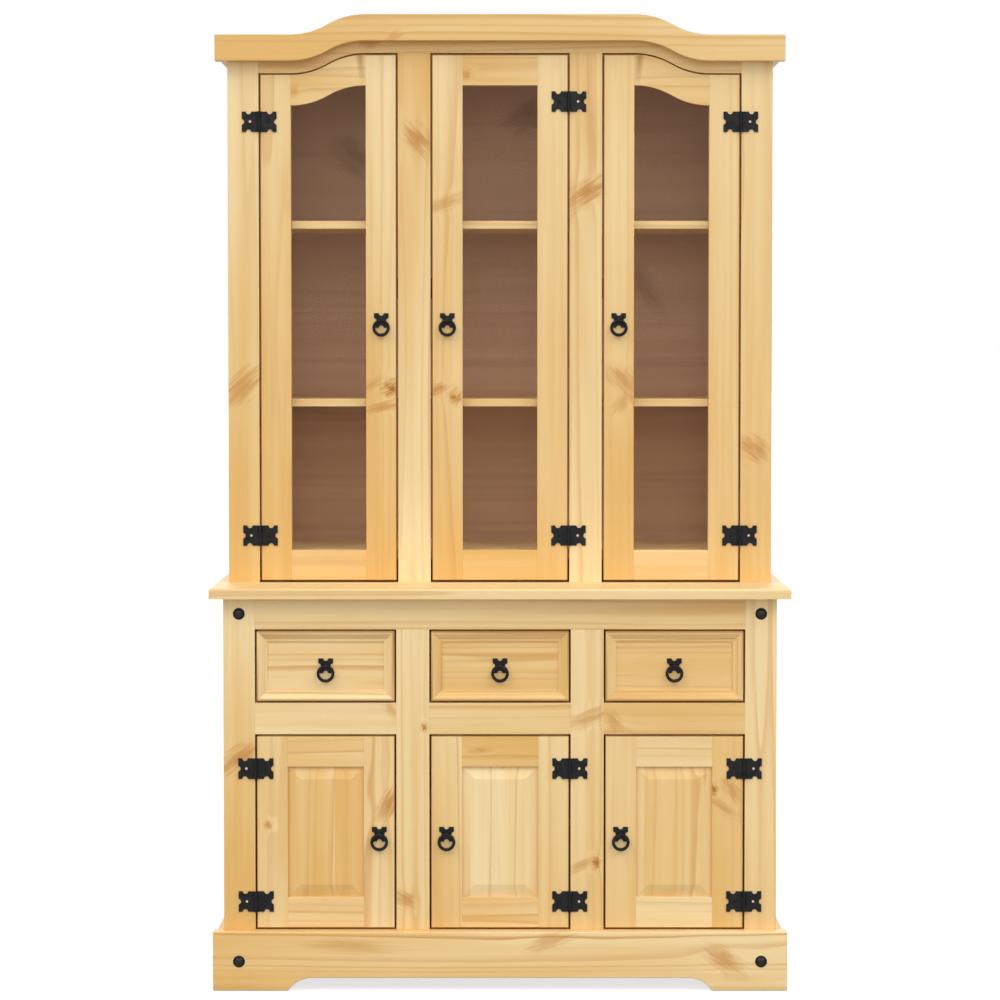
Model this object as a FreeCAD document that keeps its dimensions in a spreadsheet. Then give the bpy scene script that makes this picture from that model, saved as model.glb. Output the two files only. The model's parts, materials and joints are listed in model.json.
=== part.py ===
import FreeCAD, Part
import Sketcher
import math
import os

doc = FreeCAD.newDocument("Highboard")
sheet = doc.addObject("Spreadsheet::Sheet", "dim")
nodes = []

# Driving sizes in millimetres
SIZES = (
    # overall
    ("body_width", 1070),
    ("base_height", 780),
    ("base_depth", 400),
    ("hutch_height", 1070),
    ("hutch_depth", 290),
    # base top
    ("top_thick", 20),
    ("top_side_overhang", 25),
    ("top_front_overhang", 25),
    ("top_back_overhang", 5),
    ("top_round", 5),
    # carcass boards
    ("side_thick", 18),
    ("partition_thick", 18),
    ("floor_thick", 18),
    ("shelf_thick", 15.5),
    ("back_thick", 10),
    ("back_rebate", 8),
    ("housing_depth", 6),
    ("base_shelf_height", 205),
    ("base_shelf_setback", 50),
    ("hutch_floor_height", 62),
    ("lower_shelf_drop", 158.5),
    ("upper_shelf_lift", 193),
    ("hutch_shelf_setback", 8),
    # front frames
    ("frame_thick", 20),
    ("outer_stile", 61),
    ("mid_stile", 64),
    ("top_rail", 61),
    ("mid_rail", 61),
    ("bottom_rail", 61),
    ("drawer_opening", 142.5),
    ("tenon_length", 22),
    ("tenon_thick", 8),
    ("tenon_shoulder", 8),
    # plinth
    ("plinth_height", 115),
    ("plinth_thick", 20),
    ("plinth_reach", 20),
    ("plinth_side_thick", 13),
    ("arch_rise", 25),
    ("front_foot", 145),
    ("side_foot", 90),
    ("cove_run", 46),
    ("carcass_clear", 30),
    # frieze and cornice
    ("frieze_depth", 69),
    ("curve_rise", 39.5),
    ("cornice_lift", 22),
    ("cornice_height", 51),
    ("cornice_thick", 22),
    ("cornice_reach", 22.5),
    ("cornice_side_thick", 13),
    # doors
    ("door_gap", 3),
    ("door_thick", 19.5),
    ("door_member", 60),
    ("plinth_gap", 3),
    ("sweep_gap", 3.5),
    ("groove_depth", 9),
    ("groove_width", 8),
    ("groove_lip", 6),
    ("panel_fit", 0.3),
    ("panel_bevel", 24),
    ("panel_setback", 1),
    ("glass_lip", 9),
    ("glass_rebate", 9),
    ("glass_thick", 4),
    ("glass_fit", 0.3),
    # drawers
    ("drawer_back_gap", 40),
    ("drawer_head_room", 29.2),
    ("drawer_side_thick", 12),
    ("drawer_bottom_thick", 6),
    ("drawer_bottom_lift", 10),
    ("bottom_groove", 5),
    ("moulding_lip", 6),
    ("moulding_slope", 10),
    ("moulding_ledge", 5),
    ("moulding_rise", 8),
    ("moulding_edge", 2.5),
    ("runner_thick", 18),
    ("runner_rise", 1),
    ("runner_ledge", 16),
    ("guide_height", 45),
    ("glide_gap", 0.3),
    # butterfly hinges
    ("leaf_reach", 34),
    ("leaf_height", 40),
    ("leaf_thick", 2),
    ("edge_notch_place", 21),
    ("edge_notch_radius", 5.3),
    ("end_notch_radius", 5.6),
    ("end_notch_offset", 1),
    ("barrel_radius", 3.5),
    ("barrel_gap", 0.3),
    ("knuckle_length", 14),
    ("pin_radius", 1.5),
    ("pin_play", 0.05),
    ("base_hinge_from_top", 63.5),
    ("base_hinge_from_bottom", 52),
    ("hutch_hinge_from_top", 92),
    ("hutch_hinge_from_bottom", 89),
    # ring pulls
    ("plate_width", 28.6),
    ("plate_height", 28.8),
    ("plate_thick", 2),
    ("plate_notch_radius", 4.8),
    ("ring_radius", 14.7),
    ("wire_radius", 2.5),
    ("ring_play", 0.5),
    ("ring_standoff", 6),
    ("lug_width", 6),
    ("lug_wall", 2),
    ("pull_drop", 4),
    # studs and catches
    ("stud_radius", 11.5),
    ("stud_rise", 5),
    ("stud_inset", 30.5),
    ("catch_reach", 14),
    ("catch_seat", 18),
    ("catch_thick", 12),
    ("catch_height", 40),
    ("catch_lift", 60),
    # how far a cutting tool runs past the wood
    ("overrun", 2),
)
for row, (alias, value) in enumerate(SIZES, start=1):
    sheet.set(f"A{row}", alias)
    sheet.set(f"B{row}", str(value))
    sheet.setAlias(f"B{row}", alias)
doc.recompute()

QUARTER_TURN = 90
HALF_TURN = 180
X_AXIS = FreeCAD.Vector(1, 0, 0)
Y_AXIS = FreeCAD.Vector(0, 1, 0)
Z_AXIS = FreeCAD.Vector(0, 0, 1)
LEFT = -1
RIGHT = 1

# Planes across the width, measured from the middle
HALF_BODY = "(dim.body_width / 2)"
INNER_WALL = f"({HALF_BODY} - dim.side_thick)"
HOUSED_WALL = f"({INNER_WALL} + dim.housing_depth)"
REBATED_WALL = f"({INNER_WALL} + dim.back_rebate)"
FRAME_OPENING = f"({HALF_BODY} - dim.outer_stile)"
BAY = "((dim.body_width - 2 * dim.outer_stile - 2 * dim.mid_stile) / 3)"
PITCH = f"({BAY} + dim.mid_stile)"
PARTITION_GAP = f"(({PITCH} - dim.partition_thick) / 2)"
HALF_DOOR = f"({BAY} / 2 - dim.door_gap)"
HALF_SIGHT = f"({HALF_DOOR} - dim.door_member)"
CURVE_OUTER = f"({PITCH} + {HALF_SIGHT})"
CURVE_INNER = f"({PITCH} - {HALF_SIGHT})"

# Planes from front to back
TOP_DEPTH = "(dim.base_depth + dim.top_front_overhang + dim.top_back_overhang)"
BACK = f"({TOP_DEPTH} / 2 - dim.top_back_overhang)"
PANEL_FACE = f"({BACK} - dim.back_thick)"
BASE_FRONT = f"({BACK} - dim.base_depth)"
BASE_FRAME_BACK = f"({BASE_FRONT} + dim.frame_thick)"
HUTCH_FRONT = f"({BACK} - dim.hutch_depth)"
HUTCH_FRAME_BACK = f"({HUTCH_FRONT} + dim.frame_thick)"
PLINTH_FRONT = f"({BASE_FRONT} - dim.plinth_thick)"

# Planes upwards from the ground
FLOOR_LOW = "(dim.plinth_height - dim.floor_thick)"
BASE_SHELF_TOP = "(dim.plinth_height + dim.base_shelf_height)"
BODY_TOP = "(dim.base_height - dim.top_thick)"
DRAWER_TOP = f"({BODY_TOP} - dim.top_rail)"
DRAWER_BOTTOM = f"({DRAWER_TOP} - dim.drawer_opening)"
DOOR_TOP = f"({DRAWER_BOTTOM} - dim.mid_rail)"
RUNNER_TOP = f"({DRAWER_BOTTOM} + dim.runner_rise)"
ROOF_TOP = "(dim.base_height + dim.hutch_height)"
FRIEZE_LOW = f"({ROOF_TOP} - dim.frieze_depth)"
FRIEZE_HIGH = f"({FRIEZE_LOW} + dim.curve_rise)"
CORNICE_LOW = f"({FRIEZE_LOW} + dim.cornice_lift)"
GLAZED_LOW = "(dim.base_height + dim.sweep_gap)"
GLAZED_HIGH = f"({FRIEZE_HIGH} - dim.door_gap)"
GLAZED_MIDDLE = f"(({GLAZED_LOW} + {GLAZED_HIGH}) / 2)"

# The three bays: name, place in bays from the middle, and the edge that carries the hinges
BAYS = (("left", -1, LEFT), ("middle", 0, RIGHT), ("right", 1, RIGHT))


def number(expression):
    """The value that an expression has with the sheet's present sizes."""
    return float(sheet.evalExpression(expression))


def bay_centre(place):
    return f"({place} * {PITCH})"


def span(centre, side, near, far):
    """Two planes at near and far distances from a centre, towards one side."""
    if side == RIGHT:
        return f"({centre} + {near})", f"({centre} + {far})"
    return f"({centre} - ({far}))", f"({centre} - ({near}))"


def both_ways(centre, reach):
    return f"({centre} - {reach})", f"({centre} + {reach})"


def above(low, rise):
    return low, f"({low} + {rise})"


def below(high, drop):
    return f"({high} - {drop})", high


def bind_place(piece, x=None, y=None, z=None):
    for axis, expression in (("x", x), ("y", y), ("z", z)):
        if expression is not None:
            piece.setExpression(f"Placement.Base.{axis}", expression)


def board(name, across, depth, upright):
    """A straight board between two planes each way."""
    box = doc.addObject("Part::Box", name)
    bind_place(box, across[0], depth[0], upright[0])
    for side, (low, high) in (("Length", across), ("Width", depth), ("Height", upright)):
        box.setExpression(side, f"{high} - {low}")
    return box


def round_bar(name, radius, length, turn_axis=None):
    """A cylinder standing on the origin, laid over by a quarter turn where an axis is given."""
    bar = doc.addObject("Part::Cylinder", name)
    bar.setExpression("Radius", radius)
    bar.setExpression("Height", length)
    if turn_axis is not None:
        bar.Placement = FreeCAD.Placement(FreeCAD.Vector(), FreeCAD.Rotation(turn_axis, QUARTER_TURN))
    return bar


def group(name, pieces):
    several = doc.addObject("Part::Compound", name)
    several.Links = pieces
    return several


def cut(name, piece, tools):
    result = doc.addObject("Part::Cut", name)
    result.Base = piece
    result.Tool = tools[0] if len(tools) == 1 else group(name + "Tools", tools)
    result.Refine = True
    return result


def joined(name, pieces):
    result = doc.addObject("Part::MultiFuse", name)
    result.Shapes = pieces
    result.Refine = True
    return result


def copy_of(name, master, x, y, z, flipped=False):
    """One more of a repeated fitting, turned about the front-to-back axis where it is flipped."""
    link = doc.addObject("App::Link", name)
    link.LinkedObject = master
    if flipped:
        link.Placement = FreeCAD.Placement(FreeCAD.Vector(), FreeCAD.Rotation(Y_AXIS, HALF_TURN))
    bind_place(link, x, y, z)
    return link


def node(label, pieces):
    """Names a finished sub-part, a single piece or a group of separate ones."""
    result = pieces[0] if len(pieces) == 1 else group("Group", pieces)
    result.Label = label
    nodes.append(result)


def shape_of(piece):
    return Part.getShape(piece)


def arc_between(start, end, radius, turn):
    """The shorter arc from start to end that bends left (1) or right (-1)."""
    chord = end - start
    reach = math.sqrt(max(radius ** 2 - (chord.Length / 2) ** 2, 0))
    left = FreeCAD.Vector(-chord.y, chord.x, 0).normalize()
    centre = (start + end) / 2 + left * reach * turn
    first, last = (start, end) if turn == 1 else (end, start)
    angles = [math.atan2(point.y - centre.y, point.x - centre.x) for point in (first, last)]
    return Part.ArcOfCircle(Part.Circle(centre, Z_AXIS, radius), *angles)


def outline(body, name, role, points):
    """A closed, fully bound sketch.

    Each point is an (across, up) pair of expressions. A point that ends an arc adds the arc's radius
    and the way it bends.
    """
    sketch = body.newObject("Sketcher::SketchObject", name)
    plane = [feature for feature in body.Origin.OriginFeatures if feature.Role == role][0]
    sketch.AttachmentSupport = [(plane, "")]
    sketch.MapMode = "FlatFace"
    places = [FreeCAD.Vector(number(point[0]), number(point[1]), 0) for point in points]
    rules = []
    bound = []
    ends = []
    for index, point in enumerate(points):
        start, end = places[index - 1], places[index]
        if len(point) == 2:
            sketch.addGeometry(Part.LineSegment(start, end), False)
            ends.append((1, 2))
            continue
        radius, turn = point[2], point[3]
        sketch.addGeometry(arc_between(start, end, number(radius), turn), False)
        ends.append((1, 2) if turn == 1 else (2, 1))
        bound.append((len(rules), radius))
        rules.append(Sketcher.Constraint("Radius", index, number(radius)))
    for index, point in enumerate(points):
        after = (index + 1) % len(points)
        rules.append(Sketcher.Constraint("Coincident", index, ends[index][1], after, ends[after][0]))
        for kind, expression in (("DistanceX", point[0]), ("DistanceY", point[1])):
            bound.append((len(rules), expression))
            rules.append(Sketcher.Constraint(kind, -1, 1, index, ends[index][1], number(expression)))
    sketch.addConstraint(rules)
    for rule, expression in bound:
        sketch.setExpression(f"Constraints[{rule}]", expression)
    return sketch


def slab(name, role, points, thickness, x=None, y=None, z=None):
    """A board sawn to an outline. One drawn on XZ_Plane grows forward from the place given."""
    body = doc.addObject("PartDesign::Body", name)
    sketch = outline(body, name + "Outline", role, points)
    pad = body.newObject("PartDesign::Pad", name + "Pad")
    pad.Profile = sketch
    pad.setExpression("Length", thickness)
    bind_place(body, x, y, z)
    return body


def swept_edge(side, low):
    """The S-curved edge of one half, from the outer end of the curve to the inner one."""
    run = f"({CURVE_OUTER} - {CURVE_INNER})"
    radius = f"({run} ^ 2 + dim.curve_rise ^ 2) / (4 * dim.curve_rise)"
    middle = f"({side} * {PITCH})", f"({low} + dim.curve_rise / 2)"
    return (
        (f"({side} * {CURVE_OUTER})", low),
        (*middle, radius, -side),
        (f"({side} * {CURVE_INNER})", f"({low} + dim.curve_rise)", radius, side),
    )


def reversed_edge(edge):
    """The same edge run the other way, so each arc is named by its other end and bends the other way."""
    outer, middle, inner = edge
    return (inner[:2], (*middle[:2], inner[2], -inner[3]), (*outer[:2], middle[2], -middle[3]))


def curved_rail(name, half_width, low, height, thickness, rear):
    """A long board that rises in the middle by an S-curve each side; height None gives a flat top."""
    lower = (
        (f"-{half_width}", low),
        *swept_edge(LEFT, low),
        *reversed_edge(swept_edge(RIGHT, low)),
        (half_width, low),
    )
    if height is None:
        upper = ((half_width, ROOF_TOP), (f"-{half_width}", ROOF_TOP))
    else:
        high = f"({low} + {height})"
        upper = (
            (half_width, high),
            *swept_edge(RIGHT, high),
            *reversed_edge(swept_edge(LEFT, high)),
            (f"-{half_width}", high),
        )
    return slab(name, "XZ_Plane", lower + upper, thickness, y=rear)


def arched_skirt(name, role, half_length, foot, thickness, x=None, y=None):
    """A skirting board with a foot at each end and a low arch, rounded into the feet, between them."""
    radius = "(dim.cove_run ^ 2 + dim.arch_rise ^ 2) / (2 * dim.arch_rise)"
    inner = f"({half_length} - {foot})"
    crown = f"({inner} - dim.cove_run)"
    points = (
        (f"-{half_length}", "0"),
        (f"-{inner}", "0"),
        (f"-{crown}", "dim.arch_rise", radius, -1),
        (crown, "dim.arch_rise"),
        (inner, "0", radius, -1),
        (half_length, "0"),
        (half_length, "dim.plinth_height"),
        (f"-{half_length}", "dim.plinth_height"),
    )
    return slab(name, role, points, thickness, x=x, y=y)


def plinth():
    reach = f"({HALF_BODY} + dim.plinth_reach)"
    node("plinth_front", [
        arched_skirt("PlinthFront", "XZ_Plane", reach, "dim.front_foot", "dim.plinth_thick", y=BASE_FRONT)
    ])
    middle = f"({BACK} - dim.base_depth / 2)"
    inner_faces = (HALF_BODY, f"(-{HALF_BODY} - dim.plinth_side_thick)")
    node("plinth_sides", [
        arched_skirt("PlinthSide", "YZ_Plane", "(dim.base_depth / 2)", "dim.side_foot",
                     "dim.plinth_side_thick", x=face, y=middle)
        for face in inner_faces
    ])


def base_top():
    half = f"({HALF_BODY} + dim.top_side_overhang)"
    front = f"(-{TOP_DEPTH} / 2)"
    back = f"({TOP_DEPTH} / 2)"
    points = ((f"-{half}", front), (half, front), (half, back), (f"-{half}", back))
    body = slab("BaseTop", "XY_Plane", points, "dim.top_thick", z=BODY_TOP)
    doc.recompute()
    pad = body.Tip
    box = pad.Shape.BoundBox
    rounded = [
        f"Edge{index}" for index, edge in enumerate(pad.Shape.Edges, start=1)
        if edge.BoundBox.ZMin > box.Center.z and edge.BoundBox.YMin < box.Center.y
    ]
    fillet = body.newObject("PartDesign::Fillet", "TopRound")
    fillet.Base = (pad, rounded)
    fillet.setExpression("Radius", "dim.top_round")
    node("base_top", [body])


def carcass_side(name, side, front, upright, rebate_low, housings):
    """A side board with a rebate for the back panel and a housing for each level board."""
    whole = board(name, span("0", side, INNER_WALL, HALF_BODY), (front, BACK), upright)
    open_face = f"({INNER_WALL} - dim.overrun)"
    rebate = board(name + "Rebate", span("0", side, open_face, REBATED_WALL),
                   (PANEL_FACE, f"({BACK} + dim.overrun)"), (rebate_low, f"({upright[1]} + dim.overrun)"))
    slots = [
        board(name + "Housing", span("0", side, open_face, HOUSED_WALL), (begin, PANEL_FACE), level)
        for begin, level in housings
    ]
    return cut(name + "Worked", whole, [rebate] + slots)


def level_board(name, front, level):
    return board(name, both_ways("0", HOUSED_WALL), (front, PANEL_FACE), level)


def base_carcass():
    shelf_front = f"({BASE_FRAME_BACK} + dim.base_shelf_setback)"
    shelf_level = below(BASE_SHELF_TOP, "dim.shelf_thick")
    floor_level = (FLOOR_LOW, "dim.plinth_height")
    housings = ((BASE_FRAME_BACK, floor_level), (shelf_front, shelf_level))
    node("base_sides", [
        carcass_side("BaseSide", side, BASE_FRAME_BACK, ("dim.carcass_clear", BODY_TOP), FLOOR_LOW, housings)
        for side in (LEFT, RIGHT)
    ])
    node("base_floor", [level_board("BaseFloor", BASE_FRAME_BACK, floor_level)])
    node("base_back_panel", [
        board("BaseBack", both_ways("0", REBATED_WALL), (PANEL_FACE, BACK), (FLOOR_LOW, BODY_TOP))
    ])
    housed_gap = f"({PARTITION_GAP} + dim.housing_depth)"
    shelves = [
        board("BaseShelf", across, (shelf_front, PANEL_FACE), shelf_level)
        for across in (
            span("0", LEFT, f"({PITCH} - {housed_gap})", HOUSED_WALL),
            both_ways("0", housed_gap),
            span("0", RIGHT, f"({PITCH} - {housed_gap})", HOUSED_WALL),
        )
    ]
    partition_far = f"({PITCH} - {PARTITION_GAP})"
    partitions = []
    for side in (LEFT, RIGHT):
        whole = board("Partition", span("0", side, PARTITION_GAP, partition_far),
                      (BASE_FRAME_BACK, PANEL_FACE), ("dim.plinth_height", BODY_TOP))
        partitions.append(cut("PartitionWorked", whole, shelves))
    node("base_partitions", partitions)
    node("base_shelves", shelves)


def tongue_depth(front):
    """The middle of a front frame's thickness, where tenons lie."""
    return both_ways(f"({front} + dim.frame_thick / 2)", "(dim.tenon_thick / 2)")


def shouldered(low, high):
    return f"({low} + dim.tenon_shoulder)", f"({high} - dim.tenon_shoulder)"


def rail_with_tongue(name, across, front, upright):
    """A rail and its tongue, which is as much longer as a tenon at each end."""
    rail = board(name, across, (front, f"({front} + dim.frame_thick)"), upright)
    longer = f"({across[0]} - dim.tenon_length)", f"({across[1]} + dim.tenon_length)"
    tongue = board(name + "Tongue", longer, tongue_depth(front), shouldered(*upright))
    return rail, tongue


def mid_stile_with_tongue(name, side, front, upright, tongue_low):
    across = both_ways(f"({side} * {PITCH} / 2)", "(dim.mid_stile / 2)")
    stile = board(name, across, (front, f"({front} + dim.frame_thick)"), upright)
    tongue = board(name + "Tongue", shouldered(*across), tongue_depth(front),
                   (tongue_low, f"({upright[1]} + dim.tenon_length)"))
    return stile, tongue


def base_face_frame():
    opening = both_ways("0", FRAME_OPENING)
    top_rail, top_tongue = rail_with_tongue("TopRail", opening, BASE_FRONT, (DRAWER_TOP, BODY_TOP))
    low_rail, low_tongue = rail_with_tongue("BottomRail", opening, BASE_FRONT,
                                            below("dim.plinth_height", "dim.bottom_rail"))
    mid_rails = []
    mid_tongues = []
    for name, place, hinge_side in BAYS:
        rail, tongue = rail_with_tongue("MidRail", both_ways(bay_centre(place), f"({BAY} / 2)"),
                                        BASE_FRONT, (DOOR_TOP, DRAWER_BOTTOM))
        mid_rails.append(joined("MidRailTenoned", [rail, tongue]))
        mid_tongues.append(tongue)
    stiles = []
    stile_tongues = []
    for side in (LEFT, RIGHT):
        stile = board("OuterStile", span("0", side, FRAME_OPENING, HALF_BODY),
                      (BASE_FRONT, BASE_FRAME_BACK), ("dim.carcass_clear", BODY_TOP))
        stiles.append(cut("OuterStileMortised", stile, [top_tongue, low_tongue] + mid_tongues))
    for side in (LEFT, RIGHT):
        stile, tongue = mid_stile_with_tongue("MidStile", side, BASE_FRONT,
                                              ("dim.plinth_height", DRAWER_TOP),
                                              "(dim.plinth_height - dim.tenon_length)")
        mortised = cut("MidStileMortised", stile, mid_tongues)
        ends = cut("MidStileEnds", tongue, [stile])
        stiles.append(joined("MidStileTenoned", [mortised, ends]))
        stile_tongues.append(tongue)
    long_rails = [
        cut("LongRail", joined("LongRailTenoned", list(pair)), stile_tongues)
        for pair in ((top_rail, top_tongue), (low_rail, low_tongue))
    ]
    node("base_face_stiles", stiles)
    node("base_face_rails", long_rails + mid_rails)


def drawer_runners():
    """An L-shaped runner on each wall beside a drawer: a ledge below it and a guide beside it."""
    runners = []
    depth = (BASE_FRAME_BACK, PANEL_FACE)
    outer_wall = f"({INNER_WALL} - {PITCH})"
    for name, place, hinge_side in BAYS:
        for side in (LEFT, RIGHT):
            wall = outer_wall if side == place else PARTITION_GAP
            centre = bay_centre(place)
            guide = board("Guide", span(centre, side, f"({BAY} / 2)", wall), depth,
                          above(RUNNER_TOP, "dim.guide_height"))
            ledge = board("Ledge", span(centre, side, f"({BAY} / 2 - dim.runner_ledge)", wall), depth,
                          below(RUNNER_TOP, "dim.runner_thick"))
            runners.append(joined("Runner", [guide, ledge]))
    node("drawer_runners", runners)


def hutch_carcass():
    floor_level = below("(dim.base_height + dim.hutch_floor_height)", "dim.floor_thick")
    roof_level = below(ROOF_TOP, "dim.floor_thick")
    shelf_front = f"({HUTCH_FRAME_BACK} + dim.hutch_shelf_setback)"
    shelf_levels = [
        below(f"({GLAZED_MIDDLE} {step})", "dim.shelf_thick")
        for step in ("- dim.lower_shelf_drop", "+ dim.upper_shelf_lift")
    ]
    housings = [(HUTCH_FRAME_BACK, floor_level), (HUTCH_FRAME_BACK, roof_level)]
    housings += [(shelf_front, level) for level in shelf_levels]
    whole_height = ("dim.base_height", ROOF_TOP)
    node("hutch_sides", [
        carcass_side("HutchSide", side, HUTCH_FRAME_BACK, whole_height,
                     "(dim.base_height - dim.overrun)", housings)
        for side in (LEFT, RIGHT)
    ])
    node("hutch_floor", [level_board("HutchFloor", HUTCH_FRAME_BACK, floor_level)])
    node("hutch_roof", [level_board("HutchRoof", HUTCH_FRAME_BACK, roof_level)])
    node("hutch_shelves", [level_board("HutchShelf", shelf_front, level) for level in shelf_levels])
    node("hutch_back_panel", [
        board("HutchBack", both_ways("0", REBATED_WALL), (PANEL_FACE, BACK), whole_height)
    ])


def hutch_face_frame():
    frieze = curved_rail("Frieze", FRAME_OPENING, FRIEZE_LOW, None, "dim.frame_thick", HUTCH_FRAME_BACK)
    reach = f"({FRAME_OPENING} + dim.tenon_length)"
    tongues = [
        board("FriezeTongue", span("0", side, CURVE_OUTER, reach), tongue_depth(HUTCH_FRONT),
              shouldered(FRIEZE_LOW, ROOF_TOP))
        for side in (LEFT, RIGHT)
    ]
    stiles = []
    stile_tongues = []
    for side, tongue in zip((LEFT, RIGHT), tongues):
        stile = board("HutchOuterStile", span("0", side, FRAME_OPENING, HALF_BODY),
                      (HUTCH_FRONT, HUTCH_FRAME_BACK), ("dim.base_height", ROOF_TOP))
        stiles.append(cut("HutchOuterStileMortised", stile, [tongue]))
    for side in (LEFT, RIGHT):
        stile, tongue = mid_stile_with_tongue("HutchMidStile", side, HUTCH_FRONT,
                                              ("dim.base_height", FRIEZE_HIGH),
                                              f"({FRIEZE_HIGH} - dim.tenon_length)")
        stiles.append(joined("HutchMidStileTenoned", [stile, tongue]))
        stile_tongues.append(tongue)
    node("hutch_face_stiles", stiles)
    tenoned = joined("FriezeTenoned", [frieze] + tongues)
    node("hutch_frieze_rail", [cut("FriezeMortised", tenoned, stile_tongues)])


def cornice():
    reach = f"({HALF_BODY} + dim.cornice_reach)"
    node("cornice_front", [
        curved_rail("CorniceFront", reach, CORNICE_LOW, "dim.cornice_height", "dim.cornice_thick",
                    HUTCH_FRONT)
    ])
    outer = f"({HALF_BODY} + dim.cornice_side_thick)"
    node("cornice_sides", [
        board("CorniceSide", span("0", side, HALF_BODY, outer), (HUTCH_FRONT, BACK),
              above(CORNICE_LOW, "dim.cornice_height"))
        for side in (LEFT, RIGHT)
    ])


# Hinge fittings, drawn with the pin upright, the wood's face at the origin and the leaf to the right
AXIS_STANDOFF = "(dim.barrel_radius + dim.barrel_gap)"
HALF_LEAF = "(dim.leaf_height / 2)"


def notch(name, radius, x, z):
    """A round bite through a plate, bored from front to back."""
    depth = "(dim.leaf_thick + 2 * dim.overrun)"
    bite = round_bar(name, radius, depth, X_AXIS)
    bind_place(bite, x, "dim.overrun", z)
    return bite


def hinge_leaf(name, knuckles):
    """A butterfly leaf: a plate with bitten edges, and knuckles on tabs between the given heights."""
    plate = board(name + "Plate", (AXIS_STANDOFF, "dim.leaf_reach"), ("-dim.leaf_thick", "0"),
                  both_ways("0", HALF_LEAF))
    bites = [
        notch("EdgeNotch", "dim.edge_notch_radius", "dim.edge_notch_place", edge)
        for edge in (HALF_LEAF, f"-{HALF_LEAF}")
    ]
    bites.append(notch("EndNotch", "dim.end_notch_radius", "(dim.leaf_reach + dim.end_notch_offset)", "0"))
    pieces = [cut(name + "Bitten", plate, bites)]
    for low, high in knuckles:
        pieces.append(board("Tab", ("0", AXIS_STANDOFF), ("-dim.leaf_thick", "0"), (low, high)))
        barrel = round_bar("Knuckle", "dim.barrel_radius", f"({high} - {low})")
        bind_place(barrel, "0", f"-{AXIS_STANDOFF}", low)
        pieces.append(barrel)
    bore = round_bar("PinBore", "(dim.pin_radius + dim.pin_play)", "(dim.leaf_height + 2 * dim.overrun)")
    bind_place(bore, "0", f"-{AXIS_STANDOFF}", f"(-{HALF_LEAF} - dim.overrun)")
    return cut(name, joined(name + "Whole", pieces), [bore])


def hinge_masters():
    middle = "((dim.knuckle_length - dim.barrel_gap) / 2)"
    outer = "((dim.knuckle_length + dim.barrel_gap) / 2)"
    frame_leaf = hinge_leaf("FrameLeaf", [(f"(-{middle})", middle)])
    door_leaf = hinge_leaf("DoorLeaf", [(f"(-{HALF_LEAF})", f"(-{outer})"), (outer, HALF_LEAF)])
    return frame_leaf, door_leaf, round_bar("Pin", "dim.pin_radius", "dim.leaf_height")


def pull_plate_master():
    """A square plate with a bite in each side, and a bored lug in front that the ring hangs in."""
    plate = board("PullPlate", both_ways("0", "(dim.plate_width / 2)"), ("-dim.plate_thick", "0"),
                  both_ways("0", "(dim.plate_height / 2)"))
    bites = [
        notch("PlateNotch", "dim.plate_notch_radius", x, z)
        for x, z in (
            ("(dim.plate_width / 2)", "0"),
            ("(-dim.plate_width / 2)", "0"),
            ("0", "(dim.plate_height / 2)"),
            ("0", "(-dim.plate_height / 2)"),
        )
    ]
    eye = "(-dim.plate_thick - dim.ring_standoff)"
    bore_radius = "(dim.wire_radius + dim.ring_play)"
    lug_radius = f"({bore_radius} + dim.lug_wall)"
    lug = round_bar("Lug", lug_radius, "dim.lug_width", Y_AXIS)
    bind_place(lug, "(-dim.lug_width / 2)", eye, "0")
    neck = board("LugNeck", both_ways("0", "(dim.lug_width / 2)"), (eye, "-dim.plate_thick"),
                 both_ways("0", lug_radius))
    bore = round_bar("RingBore", bore_radius, "(dim.lug_width + 2 * dim.overrun)", Y_AXIS)
    bind_place(bore, "(-dim.lug_width / 2 - dim.overrun)", eye, "0")
    whole = joined("PullWhole", [cut("PullBitten", plate, bites), lug, neck])
    return cut("Pull", whole, [bore])


def hang_ring(label, x, face, z):
    """A ring hanging from the lug of a pull plate fixed to a face."""
    ring = doc.addObject("Part::Torus", "Ring")
    ring.setExpression("Radius1", "dim.ring_radius")
    ring.setExpression("Radius2", "dim.wire_radius")
    ring.Placement = FreeCAD.Placement(FreeCAD.Vector(), FreeCAD.Rotation(X_AXIS, QUARTER_TURN))
    bind_place(ring, x, f"({face} - dim.plate_thick - dim.ring_standoff)", f"({z} - dim.ring_radius)")
    node(label, [ring])


class Door:
    """Where one door hangs: its bay, its hinged edge, its front face and its height at each edge."""

    def __init__(self, label, place, hinge_side, front, low, hinge_high, lock_high, hinge_heights):
        self.label = label
        self.centre = bay_centre(place)
        self.hinge_side = hinge_side
        self.front = front
        self.back = f"({front} + dim.door_thick)"
        self.low = low
        self.hinge_high = hinge_high
        self.lock_high = lock_high
        self.hinge_heights = hinge_heights
        self.axis_x = f"({self.centre} + ({hinge_side}) * ({BAY} - dim.door_gap) / 2)"
        self.middle = f"(({low} + {lock_high}) / 2)"

    def across(self, side, near, far):
        return span(self.centre, side, near, far)

    def high(self, side):
        return self.hinge_high if side == self.hinge_side else self.lock_high


def base_doors():
    low = "(dim.plinth_height + dim.plinth_gap)"
    high = f"({DOOR_TOP} - dim.door_gap)"
    heights = (f"({high} - dim.base_hinge_from_top)", f"({low} + dim.base_hinge_from_bottom)")
    return [
        Door(f"base_door_{name}", place, side, BASE_FRONT, low, high, high, heights)
        for name, place, side in BAYS
    ]


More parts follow.
